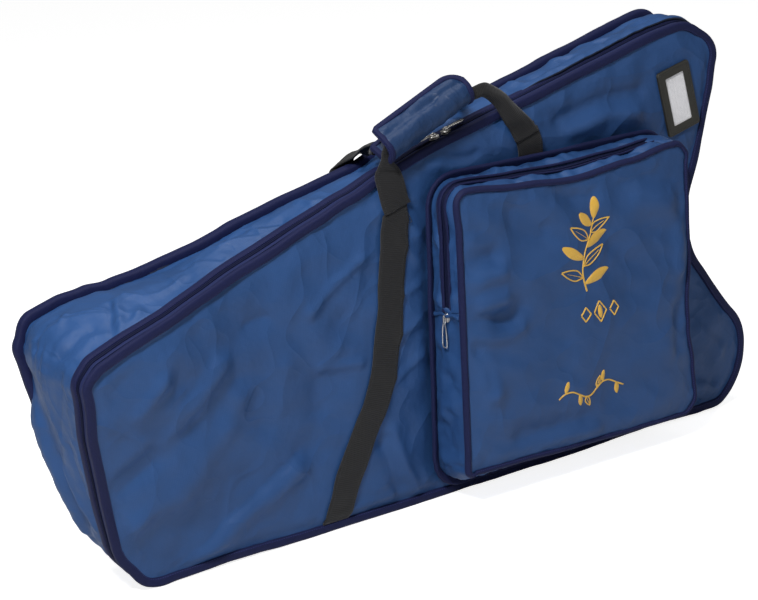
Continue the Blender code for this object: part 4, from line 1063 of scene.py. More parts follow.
def build_band(name, marks, share, lift, shift, lean, seed, halves, body, nodes=()):
    """A binding round the pocket at this share of its depth.

    lift and lean each hold a value, how far it wavers and over what length. A band with nodes is closed
    and swells a little as it goes.
    """
    centres, pairs, swell = [], [], []
    for mark in marks:
        spot, normal, y = pocket_frame(mark, share)
        run = pocket_run(mark)
        spot = spot + normal * (lift[0] + lift[1] * wander(run, seed, lift[2]))
        centres.append((spot.x, y + shift, spot.y))
        ways = (upright(normal), FORWARD) if nodes else (FORWARD, upright(normal))
        pairs.append(turned(*ways, lean[0] + lean[1] * wander(run, seed + 2, lean[2])))
        swell.append(1 + 0.06 * wander(run, seed + 4, 0.02))
    section = oval(*halves)
    piece = sweep(name, centres, *zip(*pairs), section, BINDING, bool(nodes), swell if nodes else None)
    dress(piece, body, nodes)


def build_pocket_zip(name, sign, body, nodes):
    """One half of the pocket's zip: its tape and its coil."""
    for kind, away, inward, section, finish, step in (
        ("tape", 0.0040, 0.0006, oval(0.0042, 0.0007, 8, 0.5), ZIP_TAPE, 0.003),
        ("coil", 0.0014, -0.0004, oval(0.0013, 0.0012, 6, 0.5), COIL, 0.0007),
    ):
        centres, normals = [], []
        for mark in pocket_marks(TOP_MARK, SIDE_MARK, step):
            spot, normal, y = pocket_frame(mark, POCKET_ZIP_SHARE + sign * away / POCKET_DEEP)
            spot = spot - normal * inward
            centres.append((spot.x, y, spot.y))
            normals.append(tuple(upright(normal)))
        held = nodes if kind == "tape" else ()
        zip_strip(f"{name}_{kind}", centres, normals, section, finish, body, held)


def build_pocket_seam():
    """The turned seam across the wall under the pocket's zip."""
    centres, highs = [], []
    for k in range(17):
        spot, normal, y = pocket_frame(SIDE_MARK + 0.012 + 0.004 * math.sin(k * 0.9), 0.10 + 0.84 * k / 16)
        spot = spot + normal * 0.0022
        centres.append((spot.x, y, spot.y))
        highs.append(tuple(upright(normal)))
    wides = [(0.0, 0.0, 1.0)] * len(centres)
    piece = sweep("pocket_seam", centres, wides, highs, oval(0.0024, 0.0018, 10), POCKET_FABRIC, False)
    dress(piece, "front_flap")


# Shares of the pocket's depth at its front binding, its zip and the near edge of the wall before it
WALL_TOP_SHARE, POCKET_ZIP_SHARE, WALL_ZIP_SHARE = 0.97, 0.54, 0.475


def shares_behind(mark):
    """Up to the zip where the pocket opens, and up to the front binding elsewhere."""
    zip_part = smooth((mark - TOP_MARK) * 60) * smooth((SIDE_MARK - mark) * 60)
    return -0.03, float(WALL_TOP_SHARE + (WALL_ZIP_SHARE - WALL_TOP_SHARE) * zip_part)


def build_pocket():
    """The pocket's walls, bindings, front and zip."""
    opened = pocket_marks(TOP_MARK, SIDE_MARK)
    wall = build_wall("pocket_sides", pocket_marks(whole=True), shares_behind, 0.0, True)
    dress(wall, "front_flap", ("pocket_wall",))
    front = build_wall("pocket_sides_front", opened, lambda mark: (0.665, WALL_TOP_SHARE), 0.0006, False)
    dress(front, None, ())
    around = pocket_marks(step=0.0035, whole=True)
    beside_zip = pocket_marks(TOP_MARK, SIDE_MARK, 0.0035)
    build_band("pocket_binding_back", around, 0.06, (0.0040, 0.0008, 0.05), -0.0022, (0.60, 0.22, 0.08), 81,
               (0.0068, 0.0030), "front_flap", ("pocket_base_binding",))
    build_band("pocket_binding_face", around, 1.0, (-0.0014, -0.0006, 0.04), 0.0012, (-0.95, -0.16, 0.07), 91,
               (0.0043, 0.0032), None, ("pocket_binding_front", "pocket_binding_corner"))
    build_pocket_face()
    build_pocket_zip("pocket_zip_rear", -1, "front_flap", ("pocket_teeth_rear",))
    build_pocket_zip("pocket_zip_front", 1, None, ("pocket_teeth_front", "pocket_teeth_corner"))
    for name, share, halves, body in (
        ("pocket_guard_rear", 0.415, (0.0066, 0.0022), "front_flap"),
        ("pocket_guard_front", 0.655, (0.0030, 0.0014), None),
    ):
        build_band(name, beside_zip, share, (0.0012, 0.0005, 0.04), 0.0, (0.36, 0.15, 0.08), 97, halves, body)
    build_pocket_seam()


# Webbing and handle

WEB_WIDTH = 0.038
WEB_SHARES = [k / 12 for k in range(13)]
STRAP_THICKNESS, LOOP_THICKNESS = 0.0017, 0.0018
STRAP_LIFT, STRAP_FLATNESS = 0.0030, 0.6
SQUARE_ROWS = 8
LEFT_TACK = Vector((0.4367 * LENGTH, 0.707 * HEIGHT))
RIGHT_TACK = Vector((0.6305 * LENGTH, 0.827 * HEIGHT))
HANDLE_WAY = (RIGHT_TACK - LEFT_TACK).normalized()
ALONG = Vector((HANDLE_WAY.x, 0.0, HANDLE_WAY.y))
ABOVE = Vector((-HANDLE_WAY.y, 0.0, HANDLE_WAY.x))
TACK_FACE = DEPTH_TOP / 2 + 0.0003 + 0.002
HANDLE_RISE = 0.0888
WRAP_LENGTH, WRAP_START, WRAP_LEAN = 0.140, 0.012, 0.61
WRAP_ACROSS = -TACK_FACE - 0.0072
WRAP_DEEP, WRAP_WIDE = turned(BACKWARD, ABOVE, WRAP_LEAN)


def handle_point(along, above, across):
    """A place by its distances along the handle, above its tacks and across the bag."""
    return Vector((LEFT_TACK.x, across, LEFT_TACK.y)) + ALONG * along + ABOVE * above


def eased(values, steps):
    """Values of any vector kind joined by a smooth curve through them."""
    out = []
    for i in range(len(values) - 1):
        before, here = values[max(i - 1, 0)], values[i]
        there, after = values[i + 1], values[min(i + 2, len(values) - 1)]
        for step in range(steps):
            t = step / steps
            out.append(
                here
                + (there - before) * (t / 2)
                + (before * 2 - here * 5 + there * 4 - after) * (t * t / 2)
                + (here * 3 - before - there * 3 + after) * (t * t * t / 2)
            )
    return out + [values[-1]]


def neighbours(values, i):
    """The values before and after this one, or itself at an end."""
    return values[max(i - 1, 0)], values[min(i + 1, len(values) - 1)]


LEFT_STRAP = [
    (0.355, 0.0125), (0.372, 0.060), (0.395, 0.105), (0.4217, 0.160), (0.436, 0.214), (0.445, 0.28),
    (0.4545, 0.35),
]
RIGHT_STRAP = [(0.6772, 0.4185), (0.670, 0.441)]
BACK_RIGHT_STRAP = [(0.772, 0.0125), (0.758, 0.060), (0.737, 0.14), (0.710, 0.235), (0.688, 0.336)]


def panel_strap(name, places, side, body, node):
    """Webbing that lies on a padded panel, from its foot in the seam to a bar tack."""
    line = eased([Vector(place) for place in places], 10)
    last = len(line) - 1
    rows, uvs = [], []
    run = 0.0
    for i, here in enumerate(line):
        before, after = neighbours(line, i)
        way = (after - before).normalized()
        across = Vector((way.y, -way.x))
        if i < SQUARE_ROWS:
            across = Vector((1.0, 0.0)).lerp(across, i / SQUARE_ROWS).normalized()
        if i > last - SQUARE_ROWS:
            across = HANDLE_WAY.lerp(across, (last - i) / SQUARE_ROWS).normalized()
        if i:
            run += (here - line[i - 1]).length
        rows.append([tuple(here + across * WEB_WIDTH * (share - 0.5)) for share in WEB_SHARES])
        uvs.append([(run, WEB_WIDTH * (share - 0.5)) for share in WEB_SHARES])
    flat = np.array(rows)
    x, z = flat[..., 0], flat[..., 1]
    y = panel_y(x, z, side)
    flatter = y.mean(1, keepdims=True) * STRAP_FLATNESS + y * (1 - STRAP_FLATNESS)
    y = np.where(side < 0, np.minimum(y, flatter), np.maximum(y, flatter)) + side * STRAP_LIFT
    points = np.stack([x, y, z], -1)
    piece = make(name, points, grid(points, (0.0, side, 0.0)), uvs, [WEBBING], STRAP_THICKNESS)
    dress(piece, body, (node,))


# Rows of webbing from one bar tack to the other: the places of its two edges
FRONT_LOOP = (
    ((0.4415, -0.0610, 0.3905), (0.4805, -0.0610, 0.4010)),
    ((0.4375, -0.0615, 0.4035), (0.4765, -0.0615, 0.4080)),
    ((0.4325, -0.0620, 0.4243), (0.4735, -0.0620, 0.4205)),
    ((0.4289, -0.0630, 0.4407), (0.4698, -0.0630, 0.4323)),
    ((0.4319, -0.0670, 0.4527), (0.4667, -0.0600, 0.4435)),
    ((0.4340, -0.0715, 0.4627), (0.4602, -0.0560, 0.4525)),
    ((0.4350, -0.0730, 0.4727), (0.4547, -0.0520, 0.4614)),
    ((0.4460, -0.0720, 0.4840), (0.4610, -0.0530, 0.4710)),
    ((0.4900, -0.0700, 0.5020), (0.5000, -0.0540, 0.4850)),
    ((0.5600, -0.0700, 0.5250), (0.5660, -0.0540, 0.5060)),
    ((0.5760, -0.0700, 0.5290), (0.5860, -0.0560, 0.5110)),
    ((0.5935, -0.0690, 0.5315), (0.5985, -0.0570, 0.5120)),
    ((0.6105, -0.0655, 0.5240), (0.6075, -0.0600, 0.5060)),
    ((0.6290, -0.0640, 0.5120), (0.6160, -0.0620, 0.4960)),
    ((0.6420, -0.0640, 0.4985), (0.6215, -0.0640, 0.4850)),
    ((0.6560, -0.0650, 0.4850), (0.6270, -0.0650, 0.4745)),
    ((0.6720, -0.0625, 0.4710), (0.6365, -0.0625, 0.4640)),
    ((0.6825, -0.0610, 0.4570), (0.6460, -0.0610, 0.4460)),
)
BACK_LOOP = (
    ((0.4392, 0.0600, 0.3905), (0.4769, 0.0600, 0.4010)),
    ((0.4420, 0.0620, 0.4080), (0.4800, 0.0620, 0.4150)),
    ((0.4480, 0.0640, 0.4240), (0.4850, 0.0640, 0.4330)),
    ((0.4560, 0.0610, 0.4290), (0.4890, 0.0610, 0.4390)),
    ((0.4610, 0.0510, 0.4350), (0.4900, 0.0540, 0.4420)),
    ((0.4625, 0.0300, 0.4450), (0.4850, 0.0340, 0.4420)),
    ((0.4590, 0.0060, 0.4600), (0.4740, 0.0100, 0.4490)),
    ((0.4560, -0.0180, 0.4680), (0.4650, -0.0160, 0.4590)),
    ((0.4510, -0.0370, 0.4740), (0.4600, -0.0370, 0.4610)),
    ((0.4600, -0.0450, 0.4810), (0.4680, -0.0450, 0.4640)),
    ((0.4900, -0.0460, 0.4940), (0.4960, -0.0460, 0.4760)),
    ((0.5500, -0.0460, 0.5180), (0.5560, -0.0460, 0.5000)),
    ((0.5700, -0.0430, 0.5220), (0.5780, -0.0430, 0.5050)),
    ((0.5860, -0.0300, 0.5180), (0.5900, -0.0300, 0.5000)),
    ((0.6060, -0.0060, 0.5060), (0.6000, -0.0060, 0.4960)),
    ((0.6300, 0.0260, 0.5030), (0.6130, 0.0260, 0.4980)),
    ((0.6560, 0.0510, 0.5030), (0.6260, 0.0510, 0.4960)),
    ((0.6660, 0.0620, 0.4950), (0.6330, 0.0620, 0.4870)),
    ((0.6720, 0.0640, 0.4800), (0.6360, 0.0640, 0.4720)),
    ((0.6805, 0.0600, 0.4570), (0.6440, 0.0600, 0.4460)),
)

LOOP_BEYOND_PANEL, LOOP_ON_PANEL, LOOP_BESIDE = 0.0042, 0.006, 0.050
LOOP_OVER_MIDDLE, LOOP_OVER_EDGE = 0.0045, 0.0015
TOP_RUN_NORMAL = np.array([-0.2357, 0.0, 0.9718])
MOST_GATHERED, BOW_SHARE, LOOP_WAVER = 0.8, 0.55, 0.0004


def rest_on_panel(points, side):
    """Lift webbing off the panel beside it, and over the top edge where it crosses."""
    x, y, z = points[..., 0], points[..., 1], points[..., 2]
    inside = inside_rim(x, z, RIMS[side])[0]
    surface = panel_y(x, z, side, inside)
    clear = np.maximum(side * surface, side * surface.mean(1, keepdims=True)) + LOOP_BEYOND_PANEL
    beside = side * y > LOOP_BESIDE
    y = np.where((inside > LOOP_ON_PANEL) & beside, side * np.maximum(side * y, clear), y)
    level = np.clip(1 - (y / LOOP_BESIDE) ** 2, 0, 1) * LOOP_OVER_MIDDLE + LOOP_OVER_EDGE
    sunk = np.where(beside, 0.0, np.maximum(inside + level, 0.0))
    return np.stack([x, y, z], -1) + TOP_RUN_NORMAL * sunk[..., None]


def handle_loop(name, side, rows_at, body, node):
    """A webbing loop from one bar tack to the other, gathered where it runs into the wrap."""
    firsts, lasts = (eased([Vector(row[k]) for row in rows_at], 7) for k in (0, 1))
    middles = [first + last for first, last in zip(firsts, lasts)]
    rows, uvs = [], []
    run = 0.0
    for i, (first, last) in enumerate(zip(firsts, lasts)):
        before, after = neighbours(middles, i)
        across = last - first
        face = across.cross((after - before).normalized()).normalized()
        if face.y * side < 0:
            face = -face
        gathered = min(max(1 - (across.length / WEB_WIDTH) ** 2, 0.0), MOST_GATHERED)
        bow = WEB_WIDTH * 0.5 * math.sqrt(gathered) * BOW_SHARE
        if i:
            run += (middles[i] - middles[i - 1]).length / 2
        line = []
        for k, share in enumerate(WEB_SHARES):
            out = bow * math.sin(math.pi * share) + LOOP_WAVER * wander(run, 201 + k, 0.02)
            line.append(tuple(first + across * share + face * out))
        rows.append(line)
        uvs.append([(run, (share - 0.5) * WEB_WIDTH) for share in WEB_SHARES])
    points = rest_on_panel(np.array(rows), side)
    piece = make(name, points, grid(points), uvs, [WEBBING], LOOP_THICKNESS, 0.0)
    dress(piece, body, (node,))


# The wrap's middle surface is a path across it, from the front leaf's edge round the fold to the other edge
WRAP_FOLD_MIDDLE, WRAP_FOLD_RADIUS = -0.004, 0.0145
WRAP_TIP = Vector((0.0185, 0.0165))
WRAP_SHIFT, WRAP_TILT = (-0.0070, -0.0030), 0.092
WRAP_HALF_THICK = 0.0034
WRAP_ARC_START = Vector((WRAP_FOLD_MIDDLE, WRAP_FOLD_RADIUS))
WRAP_LEAF, WRAP_ARC = (WRAP_TIP - WRAP_ARC_START).length, math.pi * WRAP_FOLD_RADIUS
WRAP_PATH = 2 * WRAP_LEAF + WRAP_ARC
WRAP_CORNERS = (0.007, 0.028)
WRAP_ROWS, WRAP_COLUMNS = 48, 40
WRAP_END, WRAP_EDGE, WRAP_HEM = 0.001, 0.002, 0.006
WRAP_EDGE_STEPS, WRAP_SIDE_STEPS = 36, 30
WRAP_BINDING, WRAP_BINDING_INSET = (0.0038, 0.0041), 0.0024
# How thick the wrap is at its sewn edge, as a share, and how far in it is full
HEM_SHARE, HEM_WIDE = 0.45, 0.012
# Creases of the outer skin: place across it, width and height. Ripples: scale along, across, height and seed
WRAP_CREASES = ((0.018, 0.003, -0.0014), (0.026, 0.005, 0.0012))
WRAP_RIPPLES = ((0.030, 0.022, 0.0034, 13.1), (0.012, 0.014, 0.0016, 17.3))


def wrap_across(t):
    """A point of the middle surface and its outward normal in the wrap's section, t metres along the path."""
    way = (WRAP_ARC_START - WRAP_TIP).normalized()
    if t <= WRAP_LEAF:
        return WRAP_TIP + way * t, Vector((-abs(way.y), abs(way.x)))
    if t <= WRAP_LEAF + WRAP_ARC:
        angle = math.pi / 2 + (t - WRAP_LEAF) / WRAP_FOLD_RADIUS
        ray = Vector((math.cos(angle), math.sin(angle)))
        return Vector((WRAP_FOLD_MIDDLE, 0.0)) + ray * WRAP_FOLD_RADIUS, ray
    arc_end, beyond = Vector((WRAP_ARC_START.x, -WRAP_ARC_START.y)), t - WRAP_LEAF - WRAP_ARC
    return arc_end + Vector((-way.x, way.y)) * beyond, Vector((-abs(way.y), -abs(way.x)))


def wrap_cut(along):
    """How far the leaf's corner is rounded away at this place along the wrap."""
    for place, radius in ((along, WRAP_CORNERS[0]), (WRAP_LENGTH - along, WRAP_CORNERS[1])):
        if place < radius:
            return radius - math.sqrt(max(radius ** 2 - (radius - place) ** 2, 0.0))
    return 0.0


def wrap_spot(along, t, lift=0.0):
    """A place on the wrap: along it and across it, lifted outwards from its middle surface."""
    (deep, wide), (deep_out, wide_out) = wrap_across(t)
    above = HANDLE_RISE + WRAP_SHIFT[1] + WRAP_TILT * (along - WRAP_LENGTH / 2)
    middle = handle_point(WRAP_START + along + WRAP_SHIFT[0], above, WRAP_ACROSS)
    out = WRAP_DEEP * deep_out + WRAP_WIDE * wide_out
    return middle + WRAP_DEEP * deep + WRAP_WIDE * wide + out * lift, out


def wrap_lift(along, t, edge):
    """The wrinkles of the wrap's outer skin: two creases and a ripple that fade at its edge."""
    crease = sum(height * fading(t - place, width) for place, width, height in WRAP_CREASES)
    ripple = 0.0
    for long, wide, height, seed in WRAP_RIPPLES:
        ripple += height * noise.noise(Vector((along / long, t / wide, seed)))
    return (crease + ripple) * float(smooth(edge / 0.010))


def wrap_skin(side):
    """Rows of points of the outer (1) or the inner (-1) skin, their outward directions and UV places."""
    rows, outs, uvs = [], [], []
    for along in np.linspace(WRAP_END, WRAP_LENGTH - WRAP_END, WRAP_ROWS):
        cut = wrap_cut(along)
        line = []
        for share in np.linspace(0, 1, WRAP_COLUMNS):
            t = cut + (WRAP_PATH - 2 * cut) * share
            edge = min(t - cut, WRAP_PATH - cut - t, along, WRAP_LENGTH - along)
            puff = WRAP_HALF_THICK * (HEM_SHARE + (1 - HEM_SHARE) * float(smooth(edge / HEM_WIDE)))
            relief = wrap_lift(along, t, edge) if side > 0 else 0.0
            line.append((*wrap_spot(along, t, side * puff + relief), (along, t)))
        rows.append([tuple(place) for place, _, _ in line])
        outs.append([tuple(out * side) for _, out, _ in line])
        uvs.append([uv for _, _, uv in line])
    return np.array(rows), np.array(outs), np.array(uvs)


def wrap_edge():
    """Places round the wrap's edge, along it and across it."""
    near, far = WRAP_EDGE, WRAP_LENGTH - WRAP_EDGE
    first, last = wrap_cut(near), wrap_cut(far)
    alongs = [near + (far - near) * i / WRAP_EDGE_STEPS for i in range(WRAP_EDGE_STEPS + 1)]
    shares = [i / WRAP_SIDE_STEPS for i in range(1, WRAP_SIDE_STEPS)]
    places = [(along, wrap_cut(along)) for along in alongs]
    places += [(far, last + (WRAP_PATH - 2 * last) * share) for share in shares]
    places += [(along, WRAP_PATH - wrap_cut(along)) for along in reversed(alongs)]
    places += [(near, WRAP_PATH - first - (WRAP_PATH - 2 * first) * share) for share in shares]
    return places


def build_wrap():
    """The padded wrap that leans over the front edge, torn open, and the binding round it."""
    (outer, outer_outs, outer_uvs), (inner, inner_outs, inner_uvs) = wrap_skin(1), wrap_skin(-1)
    count, width = outer.shape[:2]
    skin = count * width
    points = np.concatenate([outer.reshape(-1, 3), inner.reshape(-1, 3)])
    uvs = np.concatenate([outer_uvs.reshape(-1, 2), inner_uvs.reshape(-1, 2)])
    faces = [*grid(outer, outer_outs).tolist(), *grid(inner, inner_outs, start=skin).tolist()]
    ring = [(i, 0) for i in range(count)] + [(count - 1, j) for j in range(1, width)]
    ring += [(i, width - 1) for i in range(count - 2, -1, -1)] + [(0, j) for j in range(width - 2, 0, -1)]
    ids = [i * width + j for i, j in ring]
    for one, other in zip(ids, ids[1:] + ids[:1]):
        faces.append((one, other, other + skin, one + skin))
    piece = make("wrap_pad", points, faces, uvs, [WRAP_FABRIC_PAINTED_SHADE])
    dress(piece, "front_handle", ("handle_wrap",))

    edge = wrap_edge()
    spots = [wrap_spot(along, t) for along, t in edge]
    centres, wides = [], []
    for i, ((along, t), (spot, out)) in enumerate(zip(edge, spots)):
        way = (spots[(i + 1) % len(spots)][0] - spots[i - 1][0]).normalized()
        wide = way.cross(out).normalized()
        hem = (min(max(along, WRAP_HEM), WRAP_LENGTH - WRAP_HEM), min(max(t, WRAP_HEM), WRAP_PATH - WRAP_HEM))
        if wide.dot(wrap_spot(*hem)[0] - spot) < 0:
            wide = -wide
        wides.append(wide)
        centres.append(spot + wide * WRAP_BINDING_INSET)
    highs = [out for _, out in spots]
    piece = sweep("wrap_binding", centres, wides, highs, oval(*WRAP_BINDING), BINDING)
    dress(piece, "front_handle")


# Small hard parts, thread and the label


def add_rings(build, layer, rings, closed=False):
    """Join rings of points into a surface, with the run along and around as UV places."""
    verts = [[build.verts.new(Vector(p) + ORIGIN) for p in ring] for ring in rings]
    count = len(rings[0])
    along = 0.0
    for i in range(len(rings) if closed else len(rings) - 1):
        k = (i + 1) % len(rings)
        step = (Vector(rings[k][0]) - Vector(rings[i][0])).length
        around = 0.0
        for j in range(count):
            m = (j + 1) % count
            end = around + (Vector(rings[i][m]) - Vector(rings[i][j])).length
            places = ((along, around), (along + step, around), (along + step, end), (along, end))
            add_face(build, layer, (verts[i][j], verts[k][j], verts[k][m], verts[i][m]), places)
            around = end
        along += step
    if not closed:
        for ring in (verts[0], verts[-1]):
            middle = sum((v.co for v in ring), Vector()) / count
            add_face(build, layer, ring, [((v.co - middle).x, (v.co - middle).z) for v in ring])


def finish_mesh(build, name, finish, body, slot, nodes=(), smooth_angle=40.0):
    """The built mesh as a dressed piece, with sharp edges beyond this angle."""
    piece = end_mesh(build, name, finish)
    piece.data.shade_smooth()
    piece.data.set_sharp_from_angle(angle=math.radians(smooth_angle))
    return dress(piece, body, nodes)


def tube(build, layer, centres, radius, sides=10, closed=False):
    """A round wire along centres."""
    centres = [Vector(c) for c in centres]
    rings = []
    guide = None
    for i, centre in enumerate(centres):
        before, after = neighbours(centres, i)
        if closed:
            before, after = centres[i - 1], centres[(i + 1) % len(centres)]
        way = (after - before).normalized()
        if guide is None:
            guide = way.orthogonal().normalized()
        guide = (guide - way * guide.dot(way)).normalized()
        other = way.cross(guide)
        rings.append([centre + (guide * c + other * s) * radius for c, s in circle(sides)])
    add_rings(build, layer, rings, closed)


def rounded(half_x, half_y, radius, steps=6):
    """A rounded rectangle as pairs, anticlockwise."""
    places = []
    for cx, cy, first in ((1, 1, 0), (-1, 1, 90), (-1, -1, 180), (1, -1, 270)):
        for k in range(steps + 1):
            angle = math.radians(first + 90 * k / steps)
            x, y = cx * (half_x - radius), cy * (half_y - radius)
            places.append((x + radius * math.cos(angle), y + radius * math.sin(angle)))
    return places


def slab(build, layer, centre, axes, outline, low, high, edge, hole=None):
    """A flat piece with eased edges. axes are its two flat directions and its thickness direction."""
    ax, ay, up = axes

    def ring(places, inset, level):
        """The outline drawn in by inset, at this height."""
        shares = [1 - inset / math.hypot(x, y) for x, y in places]
        return [centre + ax * (x * k) + ay * (y * k) + up * level for (x, y), k in zip(places, shares)]

    levels = ((edge, low), (0.0, low + edge), (0.0, high - edge), (edge, high))
    rings = [ring(outline, inset, level) for inset, level in levels]
    if hole:
        rings += [ring(hole, -inset, level) for inset, level in reversed(levels)]
    add_rings(build, layer, rings, bool(hole))


SLIDER_PLATE = [
    (0.0065, 0.0030), (0.0050, 0.0043), (0.0010, 0.0045),
    (-0.0030, 0.0034), (-0.0060, 0.0026), (-0.0065, 0.0014),
]
# Flat parts: their lower and upper face, and how much their edges are eased
UPPER_PLATE, LOWER_PLATE = (0.0007, 0.0018, 0.0003), (-0.0022, -0.0012, 0.0003)
SLIDER_WEDGE = (-0.0014, 0.0009, 0.0001)
PULL_FACES, CLASP_FACES = (-0.0006, 0.0006, 0.00025), (-0.0010, 0.0010, 0.0003)
WEDGE_OUTLINE, WEDGE_AHEAD = (0.0022, 0.0012, 0.0009), 0.0030
RAIL_LIFT, RAIL_RADIUS = 0.0006, 0.0007
BAIL_HEIGHT, BAIL_RADIUS = 0.00375, 0.00075
BAIL_HALF_LONG, BAIL_FOOT, BAIL_RISE = 0.0033, 0.0018, 0.0034
METAL_ANGLE = 50.0


def slider_body(name, place, forward, out, body, node):
    """A coil zip's slider: two shaped plates on a wedge, their rolled edges and the bail over them."""
    build, layer = start_mesh()
    axes = (forward, BACKWARD, out)
    plate = SLIDER_PLATE + [(x, -y) for x, y in reversed(SLIDER_PLATE)]
    slab(build, layer, place, axes, plate, *UPPER_PLATE)
    slab(build, layer, place, axes, plate, *LOWER_PLATE)
    slab(build, layer, place + forward * WEDGE_AHEAD, axes, rounded(*WEDGE_OUTLINE), *SLIDER_WEDGE)
    for side in (1, -1):
        rail = [place + forward * x + BACKWARD * (side * y) + out * RAIL_LIFT for x, y in plate[1:5]]
        tube(build, layer, rail, RAIL_RADIUS, 8)
    bail = []
    for k in range(15):
        angle = math.pi * k / 14
        height = BAIL_FOOT + BAIL_RISE * math.sin(angle) ** 0.7
        bail.append(place + forward * (BAIL_HALF_LONG * math.cos(angle)) + out * height)
    tube(build, layer, bail, BAIL_RADIUS, 8)
    finish_mesh(build, name, NICKEL, body, "zip_metal", (node,), METAL_ANGLE)


# A pull's eye with its hole, the tab's half length and half width, and its raised rim as shares of the tab
PULL_EYE, PULL_HOLE, PULL_EYE_AHEAD = (0.0042, 0.0037, 0.0016), (0.0031, 0.0022, 0.0010), 0.0016
TAB_HALF_LONG, TAB_HALF_WIDE, TAB_FLARE, TAB_AHEAD = 0.0124, 0.0030, 0.0009, 0.0048
TAB_RIM_LONG, TAB_RIM_WIDE, TAB_RIM_RADIUS = 0.80, 0.72, 0.00035


def pull_tab(name, axis, way, out, body, node):
    """A stamped pull: an eye round the bail, and a rounded tab with a raised rim."""
    build, layer = start_mesh()
    axes = (way, BACKWARD, out)
    eye, hole = rounded(*PULL_EYE), rounded(*PULL_HOLE)
    slab(build, layer, axis + way * PULL_EYE_AHEAD, axes, eye, *PULL_FACES, hole)
    tab = []
    for c, s in circle(28):
        wide = TAB_HALF_WIDE + TAB_FLARE * c
        tab.append((signed_power(c, 0.5) * TAB_HALF_LONG, signed_power(s, 0.7) * wide))
    middle = axis + way * (TAB_AHEAD + TAB_HALF_LONG)
    slab(build, layer, middle, axes, tab, *PULL_FACES)
    face = middle + out * PULL_FACES[1]
    raised = [face + way * (x * TAB_RIM_LONG) + BACKWARD * (y * TAB_RIM_WIDE) for x, y in tab]
    tube(build, layer, raised, TAB_RIM_RADIUS, 6, closed=True)
    finish_mesh(build, name, NICKEL, body, "zip_metal", (node,), METAL_ANGLE)


SLIDER_Y, SLIDER_SINK = -0.03605, 0.0008
SLIDER_X = {"base": 0.538, "neck": 0.5566}


def outline_spot(x_target):
    """The top edge's point, direction and outward normal where it reaches this x."""
    low, high = BODY.arc_end[NECK_TOP], BODY.arc_start[CROWN]
    for _ in range(40):
        middle = (low + high) / 2
        if BODY.at(middle)[0].x > x_target:
            low = middle
        else:
            high = middle
    point, way, normal = BODY.at((low + high) / 2)
    return Vector((point.x, SLIDER_Y, point.y)), upright(way), upright(normal)


def build_main_sliders():
    """The two sliders of the main zip, and their pulls."""
    for share, sign in (("base", 1), ("neck", -1)):
        spot, way, out = outline_spot(SLIDER_X[share])
        forward = -way * sign
        place = spot - out * SLIDER_SINK
        slider_body("slider_" + share, place, forward, out, "zip_runner_" + share, "zip_slider_" + share)
        pull = place + out * BAIL_HEIGHT
        pull_tab("pull_" + share, pull, -forward, out, "zip_tab_" + share, "zip_pull_" + share)


# The pocket's pull: where it turns, its ring's middle and half sizes, and its wire loop's
POCKET_PULL = Vector((0.5081, -0.0825, 0.25171))
RING_DROP, RING_HALF_LONG, RING_HALF_WIDE, RING_RADIUS = 0.0030, 0.0042, 0.0022, 0.00065
WIRE_DROP, WIRE_HALF_LONG, WIRE_HALF_WIDE, WIRE_FLARE = 0.0225, 0.0165, 0.0040, 0.0018
WIRE_RADIUS, WIRE_LIFT = 0.00095, 0.0006
CLASP_OUTLINE, CLASP_DROP, CLASP_LIFT = (0.0026, 0.0014, 0.0009), 0.0066, 0.0005


def build_pocket_slider():
    """The pocket's slider, and its pull: a small ring and a long wire loop."""
    axis, up, out = POCKET_PULL, Vector((0.0, 0.0, 1.0)), Vector((-1.0, 0.0, 0.0))
    slider_body("pocket_slider_body", axis - out * BAIL_HEIGHT, up, out, "pocket_runner", "pocket_slider")
    build, layer = start_mesh()
    ring = []
    for c, s in circle(20):
        ring.append(axis - up * (RING_DROP - RING_HALF_LONG * c) + BACKWARD * (RING_HALF_WIDE * s))
    tube(build, layer, ring, RING_RADIUS, 8, closed=True)
    loop = []
    for c, s in circle(44):
        wide = (WIRE_HALF_WIDE - WIRE_FLARE * c) * signed_power(s, 0.6)
        drop = WIRE_DROP - WIRE_HALF_LONG * signed_power(c, 0.75)
        loop.append(axis - up * drop + BACKWARD * wide + out * WIRE_LIFT)
    tube(build, layer, loop, WIRE_RADIUS, 10, closed=True)
    clasp = axis - up * CLASP_DROP + out * CLASP_LIFT
    slab(build, layer, clasp, (BACKWARD, up, out), rounded(*CLASP_OUTLINE), *CLASP_FACES)
    finish_mesh(build, "pocket_pull_loop", NICKEL, "pocket_tab", "zip_metal", ("pocket_pull",), METAL_ANGLE)


def stitch_row(build, layer, places, length=0.0030, gap=0.0012, radius=0.00035):
    """Single stitches laid along a line of places."""
    places = [Vector(p) for p in places]
    left, hole = length, False
    current = [places[0]]
    for here, there in zip(places, places[1:]):
        way = there - here
        size = way.length
        done = 0.0
        while size - done > left:
            done += left
            spot = here + way * (done / size)
            if not hole:
                tube(build, layer, current + [spot], radius, 5)
            current = [spot]
            hole = not hole
            left = gap if hole else length
        left -= size - done
        if not hole:
            current.append(there)


def on_panel(x, z, side, lift):
    """A place just off a padded panel."""
    y = float(panel_y(np.array([[x]]), np.array([[z]]), side)[0, 0])
    return Vector((x, y + side * lift, z))


def tack_spot(tack, along, above, side, lift):
    """A place just off a panel, along and above one end of the handle."""
    spot = Vector((tack[0], 0.0, tack[1])) + ALONG * along + ABOVE * above
    return on_panel(spot.x, spot.z, side, lift)


# A box of stitches with its two diagonals, along and above a bar tack
TACK_BOX = (
    (-0.015, -0.002), (0.015, -0.002), (0.015, -0.026), (-0.015, -0.026), (-0.015, -0.002), (0.015, -0.026),
    (0.015, -0.002), (-0.015, -0.026),
)


